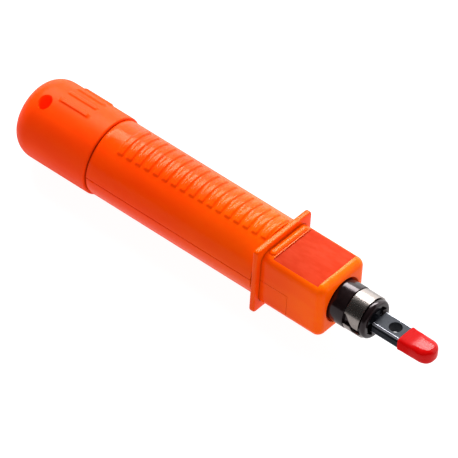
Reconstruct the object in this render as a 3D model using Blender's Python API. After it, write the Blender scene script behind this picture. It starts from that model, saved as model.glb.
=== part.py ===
"""Spring-loaded impact punch down tool, lying along +X with its ribbed side up.

The origin is the centre of the end cap's flat rear face. +X points to the blade's tip,
+Z to the side with the label panel. Lengths here are millimetres; make_object turns them
into metres.
"""

import math

import bmesh
import bpy
from mathutils import Matrix, Vector

MM = 0.001
GAP = 0.3
ROUND_STEPS = 40

# Handle, along X.
CAP_LENGTH = 35.0
CAP_RADIUS = 15.0
CAP_DOME_RADIUS = 8.0
CAP_WALL = 2.0
BODY_RADIUS = 14.3
BODY_FRONT = 109.3
NECK_RADIUS = CAP_RADIUS - CAP_WALL - GAP
NECK_REAR = 14.0
GUARD_THICKNESS = 2.0
GUARD_HALF_WIDTH = 14.3
GUARD_HALF_HEIGHT = 14.0
GUARD_CORNER = 1.1
NOSE_FRONT = 138.0
NOSE_HALF_WIDTH = 11.9
NOSE_HALF_HEIGHT = 11.3
NOSE_CORNER = 3.4
NOSE_FRONT_ROUND = 3.0
SEAM_STEP_X = 123.5

# Grips and marks on the handle.
GRIP_COUNT = 17
GRIP_FIRST_X = 44.6
GRIP_PITCH = 3.92
GRIP_WIDTH = 2.3
GRIP_HEIGHT = 0.55
GRIP_REAR_ANGLE = 33.0
GRIP_FRONT_ANGLE = 27.0
CAP_GRIP_ANGLES = (10.0, -7.5, -25.0, -42.5)
CAP_GRIP_START = 13.0
CAP_GRIP_END = 26.3
CAP_GRIP_HALF_ANGLE = 3.2
LANYARD_X = 9.4
LANYARD_ANGLE = 25.0
LANYARD_RADIUS = 2.9
LANYARD_WALL = 1.2
LANYARD_NARROWING = 0.74
BEAD_X = 113.5
BEAD_HALF_WIDTH = 1.4
BEAD_RISE = 0.85
BEAD_HALF_LENGTH = 9.4
PANEL_REAR = 115.2
PANEL_FRONT = 134.8
PANEL_DEPTH = 0.45

# Bore of the handle, from the rear.
STORE_RADIUS = 10.4
CHAMBER_RADIUS = 12.4
RIB_RADIUS = 9.8
RIB_WIDTH = 2.0
PLUG_REAR = 50.0
PLUG_THICKNESS = 2.0
PLUG_RADIUS = 11.7
SEAT_REAR = 53.9
SEAT_THICKNESS = 1.7
NOSE_CHAMBER_REAR = 103.6
NOSE_CHAMBER_RADIUS = 9.6
NOSE_CHAMBER_FRONT = 133.0
NOSE_BORE_RADIUS = 8.5

# Impact mechanism.
STROKE = 9.0
HAMMER_RADIUS = 6.8
HAMMER_REAR = 78.0
HAMMER_FRONT = 110.5
SPRING_BOSS_RADIUS = 4.6
STEM_RADIUS = 2.5
STEM_REAR = 102.0
BORE_CLEARANCE = 0.3
SLEEVE_REAR = 68.0
SLEEVE_FRONT = 103.3
SLEEVE_RADIUS = 9.4
SLEEVE_FLANGE_X = 86.3
SLEEVE_FLANGE_RADIUS = 11.4
SLEEVE_FLANGE_THICKNESS = 1.3
LATCH_THICKNESS = 3.4
LATCH_HALF_WIDTH = 3.6
LATCH_LIFT = 1.2
LATCH_TOP = 4.6
LATCH_FOOT = -8.6
LEAF_SEAT = 6.2
LEAF_THICKNESS = 0.35
LEAF_HALF_WIDTH = 1.9
LEAF_LENGTH = 8.2
CAM_SLOPE = LATCH_LIFT / STROKE

# Blade holder and blade.
BARREL_RADIUS = 7.9
BARREL_REAR = 119.5
COLLAR_RADIUS = 7.4
STOP_RING_X = 121.3
STOP_RING_THICKNESS = 1.4
STOP_RING_RADIUS = 9.2
STOP_GROOVE_RADIUS = 5.8
BAND_REAR = 144.0
BAND_FRONT = 151.0
BAND_FLOOR = 6.7
BAND_OUTER = 7.75
BAND_THICKNESS = 0.7
HOLDER_FRONT = 153.3
HOLDER_LIP_RADIUS = 7.6
HOLDER_LIP_ROUND = 1.6
SOCKET_REAR = 132.5
SOCKET_RADIUS = 3.4
SOCKET_MOUTH_RADIUS = 4.4
SOCKET_ARM_HALF_WIDTH = 1.9
LUG_CAVITY_RADIUS = 5.8
LUG_REACH = 5.15
LUG_HALF_HEIGHT = 1.5
LUG_REAR = 148.6
LUG_FRONT = 151.2
BALL_RADIUS = 1.5
BALL_X = 146.0
BALL_CENTRE = 4.4
SHANK_REAR = 133.2
SHANK_RADIUS = 3.1
SHANK_GROOVE_RADIUS = 2.4
NECK_OF_BLADE_RADIUS = 1.9
BLADE_REAR = 153.8
BLADE_HALF_WIDTH = 3.85
BLADE_HALF_HEIGHT = 2.25
BLADE_TIP_HALF_WIDTH = 3.0
BLADE_HOLE_X = 160.8
BLADE_HOLE_RADIUS = 2.3
BLADE_SLOT_HALF_WIDTH = 0.45
BLADE_SLOT_LENGTH = 4.5
BLADE_FRONT = 174.2
COVER_REAR = 165.0
COVER_FRONT = 178.0
COVER_HALF_WIDTH = 4.5
COVER_HALF_HEIGHT = 2.9
COVER_FRONT_CORNER = 2.8
COVER_REAR_CORNER = 0.8
COVER_EDGE_ROUND = 1.2


def clear_scene():
    for obj in list(bpy.data.objects):
        bpy.data.objects.remove(obj, do_unlink=True)


def make_material(name, colour, roughness, metallic=0.0):
    material = bpy.data.materials.new(name)
    material.use_nodes = True
    shader = material.node_tree.nodes["Principled BSDF"]
    shader.inputs["Base Color"].default_value = (*colour, 1.0)
    shader.inputs["Roughness"].default_value = roughness
    shader.inputs["Metallic"].default_value = metallic
    material.diffuse_color = (*colour, 1.0)
    return material


def make_object(name, bm, material=None, parent=None):
    """Object from a mesh drawn in millimetres; its origin is its parent's, or the tool's."""
    bmesh.ops.recalc_face_normals(bm, faces=bm.faces)
    bm.transform(Matrix.Scale(MM, 4))
    if parent:
        bm.transform(Matrix.Translation(parent.location).inverted())
    mesh = bpy.data.meshes.new(name)
    bm.to_mesh(mesh)
    bm.free()
    mesh.shade_smooth()
    mesh.set_sharp_from_angle(angle=math.radians(35))
    obj = bpy.data.objects.new(name, mesh)
    bpy.context.scene.collection.objects.link(obj)
    if material:
        mesh.materials.append(material)
    obj.parent = parent
    return obj


def make_axis(name, x):
    """Empty on the tool's axis, the parent of the pieces that turn or slide together."""
    empty = bpy.data.objects.new(name, None)
    empty.location = (x * MM, 0.0, 0.0)
    empty.empty_display_size = 5 * MM
    bpy.context.scene.collection.objects.link(empty)
    return empty


def combine(obj, operation, name, bm):
    """Adds a Boolean with a hidden helper made from bm."""
    helper = make_object(name, bm)
    helper.hide_render = True
    helper.display_type = "WIRE"
    modifier = obj.modifiers.new(name, "BOOLEAN")
    modifier.operation = operation
    modifier.object = helper


def cut(obj, name, bm):
    combine(obj, "DIFFERENCE", name, bm)


def join(obj, name, bm):
    combine(obj, "UNION", name, bm)


def turned(profile, steps=ROUND_STEPS):
    """Solid of revolution about X from a closed outline of (x, radius) points."""
    bm = bmesh.new()
    points = [bm.verts.new((x, 0.0, radius)) for x, radius in profile]
    edges = [bm.edges.new((a, b)) for a, b in zip(points, points[1:] + points[:1])]
    bmesh.ops.spin(
        bm, geom=points + edges, cent=(0, 0, 0), axis=(1, 0, 0), angle=math.tau, steps=steps
    )
    bmesh.ops.remove_doubles(bm, verts=bm.verts, dist=0.0005)
    on_axis = [edge for edge in bm.edges if not edge.link_faces]
    bmesh.ops.delete(bm, geom=on_axis, context="EDGES")
    return bm


def arc_bar(x0, x1, r0, r1, start, end, steps):
    """Bar bent round the tool's axis; angles in degrees from the top towards -Y."""
    bm = bmesh.new()
    corners = ((x0, r0), (x1, r0), (x1, r1), (x0, r1))
    face = bm.faces.new([bm.verts.new((x, 0.0, r)) for x, r in corners])
    bm.transform(Matrix.Rotation(math.radians(start), 4, "X"))
    bmesh.ops.spin(
        bm, geom=[face], cent=(0, 0, 0), axis=(1, 0, 0),
        angle=math.radians(end - start), steps=steps,
    )
    return bm


def prism(outline, axis, start, end):
    """Straight prism from an outline; axis X takes (y, z) points, Y (x, z) and Z (x, y)."""
    place = {
        "X": lambda a, b, t: (t, a, b),
        "Y": lambda a, b, t: (a, t, b),
        "Z": lambda a, b, t: (a, b, t),
    }[axis]
    bm = bmesh.new()
    ends = [[bm.verts.new(place(a, b, t)) for a, b in outline] for t in (start, end)]
    for ring in ends:
        bm.faces.new(ring)
    for i in range(len(outline)):
        j = (i + 1) % len(outline)
        bm.faces.new((ends[0][i], ends[0][j], ends[1][j], ends[1][i]))
    return bm


def box(x, y, z):
    """Straight block from three (low, high) pairs."""
    corners = ((y[0], z[0]), (y[1], z[0]), (y[1], z[1]), (y[0], z[1]))
    return prism(corners, "X", *x)


def rounded_rectangle(half_a, half_b, radius, steps=4):
    """Outline of a rectangle about the origin whose corners are quarter circles."""
    outline = []
    for quarter, (a, b) in enumerate(((1, 1), (-1, 1), (-1, -1), (1, -1))):
        for i in range(steps + 1):
            angle = (quarter + i / steps) * math.pi / 2
            outline.append((
                a * (half_a - radius) + radius * math.cos(angle),
                b * (half_b - radius) + radius * math.sin(angle),
            ))
    return outline


def lofted(sections):
    """Closed skin through (x, outline) sections that have the same number of points."""
    bm = bmesh.new()
    rings = [[bm.verts.new((x, y, z)) for y, z in outline] for x, outline in sections]
    for back, front in zip(rings, rings[1:]):
        for i in range(len(back)):
            j = (i + 1) % len(back)
            bm.faces.new((back[i], back[j], front[j], front[i]))
    bm.faces.new(rings[0])
    bm.faces.new(rings[-1])
    return bm


def coil(x0, x1, mean_radius, wire_radius, turns, turn_steps=12, wire_steps=5):
    """Round wire wound about X between its two end faces x0 and x1."""
    bm = bmesh.new()
    count = turns * turn_steps
    first = x0 + wire_radius
    pitch = (x1 - x0 - 2 * wire_radius) / turns
    rings = []
    for i in range(count + 1):
        turn = math.tau * i / turn_steps
        x = first + pitch * i / turn_steps
        ring = []
        for k in range(wire_steps):
            around = math.tau * k / wire_steps
            r = mean_radius + wire_radius * math.cos(around)
            along = x + wire_radius * math.sin(around)
            ring.append(bm.verts.new((along, -r * math.sin(turn), r * math.cos(turn))))
        rings.append(ring)
    for back, front in zip(rings, rings[1:]):
        for k in range(wire_steps):
            j = (k + 1) % wire_steps
            bm.faces.new((back[k], back[j], front[j], front[k]))
    bm.faces.new(rings[0])
    bm.faces.new(rings[-1])
    return bm


def merged(*shapes):
    """One mesh holding several separate closed shapes."""
    together = bmesh.new()
    for shape in shapes:
        mesh = bpy.data.meshes.new("shape")
        shape.to_mesh(mesh)
        shape.free()
        together.from_mesh(mesh)
        bpy.data.meshes.remove(mesh)
    return together


def cross_pin(x, radius, angle, start, end, steps=16, narrowing=1.0):
    """Pin across the axis at x, leaning by angle from the top towards -Y; narrowed along X."""
    oval = [
        (radius * narrowing * math.cos(math.tau * i / steps), radius * math.sin(math.tau * i / steps))
        for i in range(steps)
    ]
    bm = prism(oval, "Z", start, end)
    bm.transform(Matrix.Rotation(math.radians(angle), 4, "X"))
    bm.transform(Matrix.Translation((x, 0.0, 0.0)))
    return bm


def arc_points(centre_x, centre_r, radius, start, end, steps):
    """Points of an arc in the (x, radius) plane; angles in degrees, 0 points to +X."""
    angles = [math.radians(start + (end - start) * i / steps) for i in range(steps + 1)]
    return [
        (centre_x + radius * math.cos(a), centre_r + radius * math.sin(a)) for a in angles
    ]


def nose_outline(inset=0.0):
    return rounded_rectangle(
        NOSE_HALF_WIDTH - inset, NOSE_HALF_HEIGHT - inset, max(NOSE_CORNER - inset, 0.5)
    )


def nose_block():
    """Squarish nose whose front edge is rounded over."""
    sections = [(BODY_FRONT - 3.0, nose_outline())]
    for i in range(5):
        turn = math.radians(90 * i / 4)
        x = NOSE_FRONT - NOSE_FRONT_ROUND * (1 - math.sin(turn))
        sections.append((x, nose_outline(NOSE_FRONT_ROUND * (1 - math.cos(turn)))))
    return lofted(sections)


def shell_bore():
    """The hollow of both half shells: store, plug groove, spring chamber and nose bore."""
    ribs = (SLEEVE_REAR + 2.0, SLEEVE_REAR + 16.0)
    profile = [(NECK_REAR - 2.0, 0.0), (NECK_REAR - 2.0, STORE_RADIUS)]
    groove = (PLUG_REAR - GAP, PLUG_REAR + PLUG_THICKNESS + GAP)
    for x, radius, next_radius in (
        (groove[0], STORE_RADIUS, PLUG_RADIUS + GAP),
        (groove[1], PLUG_RADIUS + GAP, STORE_RADIUS),
        (SEAT_REAR - GAP, STORE_RADIUS, CHAMBER_RADIUS),
        (ribs[0], CHAMBER_RADIUS, RIB_RADIUS),
        (ribs[0] + RIB_WIDTH, RIB_RADIUS, CHAMBER_RADIUS),
        (ribs[1], CHAMBER_RADIUS, RIB_RADIUS),
        (ribs[1] + RIB_WIDTH, RIB_RADIUS, CHAMBER_RADIUS),
        (NOSE_CHAMBER_REAR, CHAMBER_RADIUS, NOSE_CHAMBER_RADIUS),
        (NOSE_CHAMBER_FRONT, NOSE_CHAMBER_RADIUS, NOSE_BORE_RADIUS),
    ):
        profile += [(x, radius), (x, next_radius)]
    profile += [(NOSE_FRONT + 2.0, NOSE_BORE_RADIUS), (NOSE_FRONT + 2.0, 0.0)]
    return turned(profile)


def grip_ribs(top_angle):
    """Cross ribs of one shell, around the angle of its crown."""
    bars = []
    for i in range(GRIP_COUNT):
        x = GRIP_FIRST_X + GRIP_PITCH * i
        forward = i / (GRIP_COUNT - 1)
        half_angle = GRIP_REAR_ANGLE + (GRIP_FRONT_ANGLE - GRIP_REAR_ANGLE) * forward
        bars.append(arc_bar(
            x - GRIP_WIDTH / 2, x + GRIP_WIDTH / 2, BODY_RADIUS - 0.8,
            BODY_RADIUS + GRIP_HEIGHT, top_angle - half_angle, top_angle + half_angle, 5,
        ))
    return merged(*bars)


def snap_bead(side):
    """Low oval bead across the nose that holds the guard ring; side is +1 top, -1 bottom."""
    root = 0.4
    oval = [
        (BEAD_X + BEAD_HALF_WIDTH * math.cos(math.tau * i / 12),
         side * (NOSE_HALF_HEIGHT - root) + (BEAD_RISE + root) * math.sin(math.tau * i / 12))
        for i in range(12)
    ]
    return prism(oval, "Y", -BEAD_HALF_LENGTH, BEAD_HALF_LENGTH)


def outside_lower_shell():
    """Everything that doesn't belong to the lower shell: above the seam and before its step."""
    step = SEAM_STEP_X - GAP / 2
    outline = (
        (5.0, -GAP / 2), (step, -GAP / 2), (step, -25.0), (145.0, -25.0), (145.0, 25.0),
        (5.0, 25.0),
    )
    return prism(outline, "Y", -25.0, 25.0)


def outside_upper_shell():
    """The space of the lower shell, with the seam's gap."""
    step = SEAM_STEP_X + GAP / 2
    return box((5.0, step), (-25.0, 25.0), (-25.0, GAP / 2))


def build_shell(name, material, side):
    """Half of the handle; side is +1 for the upper shell and -1 for the lower one."""
    groove_x = NECK_REAR + 3.0
    outer = [
        (NECK_REAR, 0.0), (NECK_REAR, NECK_RADIUS - 0.5), (NECK_REAR + 0.5, NECK_RADIUS),
        (groove_x, NECK_RADIUS), (groove_x, NECK_RADIUS - 1.0),
        (groove_x + 1.7, NECK_RADIUS - 1.0), (groove_x + 1.7, NECK_RADIUS),
        (CAP_LENGTH + GAP, NECK_RADIUS), (CAP_LENGTH + GAP, BODY_RADIUS - 0.4),
        (CAP_LENGTH + GAP + 0.4, BODY_RADIUS), (BODY_FRONT - 0.4, BODY_RADIUS),
        (BODY_FRONT, BODY_RADIUS - 0.4), (BODY_FRONT, 0.0),
    ]
    shell = make_object(name, turned(outer), material)
    join(shell, name + "_nose", nose_block())
    ribs = grip_ribs(0.0 if side > 0 else 180.0)
    join(shell, name + "_ribs_and_bead", merged(ribs, snap_bead(side)))
    cut(shell, name + "_bore", shell_bore())
    if side > 0:
        panel_floor = NOSE_HALF_HEIGHT - PANEL_DEPTH
        cut(shell, name + "_label_panel", box(
            (PANEL_REAR, PANEL_FRONT), (-NOSE_HALF_WIDTH - 1.0, NOSE_HALF_WIDTH + 1.0),
            (panel_floor, panel_floor + 3.0),
        ))
        cut(shell, name + "_parting", outside_upper_shell())
    else:
        cut(shell, name + "_parting", outside_lower_shell())
    return shell


def build_guard_ring(material):
    """Square finger guard that slides over the nose onto the body's shoulder."""
    rear = BODY_FRONT + GAP
    outline = rounded_rectangle(GUARD_HALF_WIDTH, GUARD_HALF_HEIGHT, GUARD_CORNER)
    guard = make_object("guard_ring", prism(outline, "X", rear, rear + GUARD_THICKNESS), material)
    cut(guard, "guard_ring_hole", prism(nose_outline(-GAP), "X", rear - 2.0, rear + 5.0))


def build_end_cap(material, parent):
    """Domed hollow cap with raised grips and an oval lanyard hole through both sides."""
    dome = arc_points(CAP_DOME_RADIUS, CAP_RADIUS - CAP_DOME_RADIUS, CAP_DOME_RADIUS, 180, 90, 7)
    inner_radius = CAP_RADIUS - CAP_WALL
    inner = arc_points(
        CAP_DOME_RADIUS, CAP_RADIUS - CAP_DOME_RADIUS, CAP_DOME_RADIUS - CAP_WALL, 90, 180, 6
    )
    profile = [(0.0, 0.0)] + dome + [
        (CAP_LENGTH - 0.5, CAP_RADIUS), (CAP_LENGTH, CAP_RADIUS - 0.5), (CAP_LENGTH, inner_radius)
    ] + inner + [(CAP_WALL, 0.0)]
    cap = make_object("end_cap", turned(profile), material, parent)
    bars = []
    for angle in CAP_GRIP_ANGLES:
        for middle in (angle, 180.0 - angle):
            bars.append(arc_bar(
                CAP_GRIP_START, CAP_GRIP_END, CAP_RADIUS - 0.6, CAP_RADIUS + GRIP_HEIGHT,
                middle - CAP_GRIP_HALF_ANGLE, middle + CAP_GRIP_HALF_ANGLE, 2,
            ))
    join(cap, "end_cap_grips", merged(*bars))
    join(cap, "end_cap_lanyard_sleeve", cross_pin(
        LANYARD_X, LANYARD_RADIUS + LANYARD_WALL, LANYARD_ANGLE,
        -CAP_RADIUS + 1.2, CAP_RADIUS - 1.2, 20, LANYARD_NARROWING,
    ))
    cut(cap, "end_cap_lanyard_hole", cross_pin(
        LANYARD_X, LANYARD_RADIUS, LANYARD_ANGLE, -CAP_RADIUS - 2.0, CAP_RADIUS + 2.0, 20,
        LANYARD_NARROWING,
    ))


def build_cap_o_ring(material, parent):
    section = 0.5
    mean = NECK_RADIUS - 0.3
    circle = [
        (NECK_REAR + 3.85 + section * math.cos(math.tau * i / 8),
         mean - section * math.sin(math.tau * i / 8))
        for i in range(8)
    ]
    make_object("cap_o_ring", turned(circle, 24), material, parent)


def build_compartment_plug(material):
    front = PLUG_REAR + PLUG_THICKNESS
    profile = [
        (PLUG_REAR, 0.0), (PLUG_REAR, PLUG_RADIUS), (front, PLUG_RADIUS), (front, 0.0)
    ]
    make_object("compartment_plug", turned(profile, 30), material)


def build_spring_seat(material):
    """Flanged seat with a boss that centres the main spring."""
    front = SEAT_REAR + SEAT_THICKNESS
    profile = [
        (SEAT_REAR, 0.0), (SEAT_REAR, CHAMBER_RADIUS - GAP), (front, CHAMBER_RADIUS - GAP),
        (front, SPRING_BOSS_RADIUS), (front + 2.4, SPRING_BOSS_RADIUS), (front + 2.4, 0.0),
    ]
    make_object("main_spring_seat", turned(profile, 30), material)


def build_guide_sleeve(material):
    """Tube for the hammer, held by its flange, open below for the latch and the ramp."""
    bore = HAMMER_RADIUS + BORE_CLEARANCE
    flange = (SLEEVE_FLANGE_X, SLEEVE_FLANGE_X + SLEEVE_FLANGE_THICKNESS)
    profile = [
        (SLEEVE_REAR, bore), (SLEEVE_REAR, SLEEVE_RADIUS), (flange[0], SLEEVE_RADIUS),
        (flange[0], SLEEVE_FLANGE_RADIUS), (flange[1], SLEEVE_FLANGE_RADIUS),
        (flange[1], SLEEVE_RADIUS), (SLEEVE_FRONT, SLEEVE_RADIUS), (SLEEVE_FRONT, bore),
    ]
    sleeve = make_object("guide_sleeve", turned(profile, 30), material)
    cut(sleeve, "guide_sleeve_slot", box(
        (flange[1] + 0.9, SLEEVE_FRONT + 2.0), (-LATCH_HALF_WIDTH - GAP, LATCH_HALF_WIDTH + GAP),
        (-SLEEVE_RADIUS - 2.0, -4.0),
    ))


def latch_span():
    """Rear and front face of the latch, just behind the blade holder's stem."""
    front = STEM_REAR - GAP
    return front - LATCH_THICKNESS, front


def build_cam_plate(material):
    """Ramp whose slope lifts the latch by LATCH_LIFT over one STROKE."""
    latch_rear, latch_front = latch_span()
    rear = latch_rear - STROKE - 0.6
    front = latch_front + 0.5
    foot = LATCH_FOOT - GAP
    base = (-10.9, -9.7)
    outline = (
        (rear, base[1] - 0.5), (front, base[1] - 0.5),
        (front, foot - (front - latch_front) * CAM_SLOPE),
        (rear, foot + (latch_front - rear) * CAM_SLOPE),
    )
    ramp = prism(outline, "Y", -LATCH_HALF_WIDTH + 0.4, LATCH_HALF_WIDTH - 0.4)
    cam = make_object("cam_plate", ramp, material)
    join(cam, "cam_plate_base", box((rear - 0.2, front + 0.8), (-4.6, 4.6), base))


def build_hammer(material, parent):
    """Weight with a rear boss for the spring, a front bore and a cross slot for the latch."""
    bore = STEM_RADIUS + BORE_CLEARANCE
    profile = [
        (HAMMER_REAR - 3.5, 0.0), (HAMMER_REAR - 3.5, SPRING_BOSS_RADIUS),
        (HAMMER_REAR, SPRING_BOSS_RADIUS), (HAMMER_REAR, HAMMER_RADIUS),
        (HAMMER_FRONT, HAMMER_RADIUS), (HAMMER_FRONT, bore),
        (STEM_REAR - STROKE - 3.0, bore), (STEM_REAR - STROKE - 3.0, 0.0),
    ]
    hammer = make_object("hammer", turned(profile, 30), material, parent)
    latch_rear, latch_front = latch_span()
    slot_width = (-LATCH_HALF_WIDTH - GAP, LATCH_HALF_WIDTH + GAP)
    cut(hammer, "hammer_latch_slot", box(
        (latch_rear - GAP, latch_front + GAP), slot_width, (-9.0, 9.0)
    ))
    cut(hammer, "hammer_leaf_recess", box(
        (latch_rear - LEAF_LENGTH - GAP, latch_rear + 0.5),
        (-LEAF_HALF_WIDTH - GAP, LEAF_HALF_WIDTH + GAP), (LEAF_SEAT - GAP, 9.0),
    ))


def build_latch(material, parent):
    """Cross plate with an offset hole; its foot is cut parallel to the ramp."""
    rear, front = latch_span()
    outline = (
        (rear, LATCH_FOOT + (front - rear) * CAM_SLOPE), (front, LATCH_FOOT),
        (front, LATCH_TOP), (rear, LATCH_TOP),
    )
    plate = prism(outline, "Y", -LATCH_HALF_WIDTH, LATCH_HALF_WIDTH)
    latch = make_object("latch", plate, material, parent)
    circle = [
        ((STEM_RADIUS + BORE_CLEARANCE) * math.cos(math.tau * i / 24),
         (STEM_RADIUS + BORE_CLEARANCE) * math.sin(math.tau * i / 24) - LATCH_LIFT)
        for i in range(24)
    ]
    cut(latch, "latch_hole", prism(circle, "X", rear - 1.0, front + 1.0))


def build_latch_spring(material, parent):
    """Bent leaf on the hammer that presses the latch towards the ramp."""
    rear, front = latch_span()
    tip = LATCH_TOP + GAP
    start, bend, end = rear - LEAF_LENGTH, rear + 0.2, front - 0.6
    outline = (
        (start, LEAF_SEAT), (bend, LEAF_SEAT), (end, tip), (end, tip + LEAF_THICKNESS),
        (bend, LEAF_SEAT + LEAF_THICKNESS), (start, LEAF_SEAT + LEAF_THICKNESS),
    )
    leaf = prism(outline, "Y", -LEAF_HALF_WIDTH, LEAF_HALF_WIDTH)
    make_object("latch_spring", leaf, material, parent)


def build_return_spring_seat(material):
    rear = NOSE_CHAMBER_REAR + 0.1
    inner = HAMMER_RADIUS + 0.5
    outer = NOSE_CHAMBER_RADIUS - 0.2
    profile = [(rear, inner), (rear, outer), (rear + 1.0, outer), (rear + 1.0, inner)]
    make_object("return_spring_seat", turned(profile, 30), material)


def build_springs(material):
    """Main spring behind the hammer, and return spring between its seat and the stop ring."""
    make_object("main_spring", coil(
        SEAT_REAR + SEAT_THICKNESS + 0.15, HAMMER_REAR - 0.15, 5.6, 0.6, 7
    ), material)
    make_object("return_spring", coil(
        NOSE_CHAMBER_REAR + 1.25, STOP_RING_X - 0.15, 8.3, 0.45, 5
    ), material)


def build_guide_bush(material):
    rear = STOP_RING_X + STOP_RING_THICKNESS + GAP
    front = NOSE_CHAMBER_FRONT - GAP
    outer = NOSE_CHAMBER_RADIUS - GAP
    inner = BARREL_RADIUS + BORE_CLEARANCE
    profile = [
        (rear, inner), (rear, outer - 0.5), (rear + 0.5, outer), (front, outer), (front, inner)
    ]
    make_object("guide_bush", turned(profile), material)


def socket_mouth_outline(steps=4):
    """Round hole with four arms at 45 degrees, through which the blade's lugs enter."""
    arm = SOCKET_ARM_HALF_WIDTH
    side = math.asin(arm / SOCKET_MOUTH_RADIUS)
    outline = []
    for quarter in range(4):
        middle = math.radians(45 + 90 * quarter)
        for across in (-arm, arm):
            outline.append(tuple(Matrix.Rotation(middle, 2) @ Vector((LUG_REACH + 0.2, across))))
        for i in range(steps + 1):
            angle = middle + side + (math.pi / 2 - 2 * side) * i / steps
            outline.append((
                SOCKET_MOUTH_RADIUS * math.cos(angle), SOCKET_MOUTH_RADIUS * math.sin(angle)
            ))
    return outline


def build_blade_holder(material, parent):
    """Spindle: rear stem, barrel with the band groove, and a cross-shaped socket in front."""
    ring = (STOP_RING_X - GAP, STOP_RING_X + STOP_RING_THICKNESS + GAP)
    profile = [
        (STEM_REAR, 0.0), (STEM_REAR, STEM_RADIUS - 0.4), (STEM_REAR + 0.4, STEM_RADIUS),
        (BARREL_REAR, STEM_RADIUS), (BARREL_REAR, COLLAR_RADIUS),
        (ring[0], COLLAR_RADIUS), (ring[0], STOP_GROOVE_RADIUS),
        (ring[1], STOP_GROOVE_RADIUS), (ring[1], BARREL_RADIUS),
        (BAND_REAR, BARREL_RADIUS), (BAND_REAR, BAND_FLOOR), (BAND_FRONT, BAND_FLOOR),
        (BAND_FRONT, HOLDER_LIP_RADIUS),
    ] + arc_points(
        HOLDER_FRONT - HOLDER_LIP_ROUND, HOLDER_LIP_RADIUS - HOLDER_LIP_ROUND,
        HOLDER_LIP_ROUND, 90, 0, 4,
    ) + [(HOLDER_FRONT, 0.0)]
    holder = make_object("blade_holder", turned(profile), material, parent)
    socket = [
        (SOCKET_REAR, 0.0), (SOCKET_REAR, SOCKET_RADIUS), (LUG_REAR - 0.4, SOCKET_RADIUS),
        (LUG_REAR - 0.4, LUG_CAVITY_RADIUS), (LUG_FRONT + 0.4, LUG_CAVITY_RADIUS),
        (LUG_FRONT + 0.4, 0.0),
    ]
    cut(holder, "blade_holder_socket", turned(socket, 32))
    mouth = prism(socket_mouth_outline(), "X", LUG_FRONT, HOLDER_FRONT + 1.0)
    cut(holder, "blade_holder_mouth", mouth)
    cut(holder, "blade_holder_ball_hole", cross_pin(
        BALL_X, BALL_RADIUS + 0.25, 0.0, BALL_CENTRE - 2.4, BAND_FLOOR + 1.0
    ))


def build_stop_ring(material, parent):
    """Split collar in the blade holder's rear groove."""
    ring = arc_bar(
        STOP_RING_X, STOP_RING_X + STOP_RING_THICKNESS, STOP_GROOVE_RADIUS + GAP, STOP_RING_RADIUS,
        195.0, 525.0, 27,
    )
    make_object("stop_ring", ring, material, parent)


def build_locking_band(material, parent):
    """Split steel band; the split steps sideways halfway along the band."""
    middle = (BAND_REAR + BAND_FRONT) / 2
    inner = BAND_OUTER - BAND_THICKNESS
    rear = arc_bar(BAND_REAR + GAP, middle + 0.1, inner, BAND_OUTER, 100.0, 428.0, 27)
    front = arc_bar(middle - 0.1, BAND_FRONT - GAP, inner, BAND_OUTER, 119.0, 455.0, 28)
    band = make_object("locking_band", rear, material, parent)
    join(band, "locking_band_front", front)


def build_detent_ball(material, parent):
    bm = bmesh.new()
    bmesh.ops.create_uvsphere(bm, u_segments=16, v_segments=10, radius=BALL_RADIUS)
    bm.transform(Matrix.Translation((BALL_X, 0.0, BALL_CENTRE)))
    make_object("detent_ball", bm, material, parent)


def build_blade(material, parent):
    """Insert: round shank with a ball groove, two lugs, a thin neck and a slotted flat blade."""
    groove = (BALL_X - 1.6, BALL_X + 1.6)
    profile = [
        (SHANK_REAR, 0.0), (SHANK_REAR, SHANK_RADIUS - 0.5), (SHANK_REAR + 0.5, SHANK_RADIUS),
        (groove[0], SHANK_RADIUS), (groove[0], SHANK_GROOVE_RADIUS),
        (groove[1], SHANK_GROOVE_RADIUS), (groove[1], SHANK_RADIUS), (LUG_REAR + 0.5, SHANK_RADIUS),
        (LUG_REAR + 0.5, NECK_OF_BLADE_RADIUS), (BLADE_REAR + 1.0, NECK_OF_BLADE_RADIUS),
        (BLADE_REAR + 1.0, 0.0),
    ]
    blade = make_object("blade", turned(profile, 30), material, parent)
    lugs = turned([
        (LUG_REAR, 0.0), (LUG_REAR, LUG_REACH), (LUG_FRONT, LUG_REACH), (LUG_FRONT, 0.0)
    ], 32)
    for vert in lugs.verts:
        vert.co.z = max(-LUG_HALF_HEIGHT, min(LUG_HALF_HEIGHT, vert.co.z))
    join(blade, "blade_lugs", lugs)
    wide, tip, slot = BLADE_HALF_WIDTH, BLADE_TIP_HALF_WIDTH, BLADE_SLOT_HALF_WIDTH
    slot_end = BLADE_FRONT - BLADE_SLOT_LENGTH
    near_side = [
        (BLADE_REAR, wide), (COVER_REAR + 0.8, wide), (COVER_REAR + 3.0, tip), (BLADE_FRONT, tip),
        (BLADE_FRONT, slot), (slot_end, slot),
    ]
    far_side = [(x, -y) for x, y in reversed(near_side)]
    flat = prism(near_side + far_side, "Z", -BLADE_HALF_HEIGHT, BLADE_HALF_HEIGHT)
    join(blade, "blade_flat", flat)
    cut(blade, "blade_hole", cross_pin(BLADE_HOLE_X, BLADE_HOLE_RADIUS, 0.0, -4.0, 4.0, 20))


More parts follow.
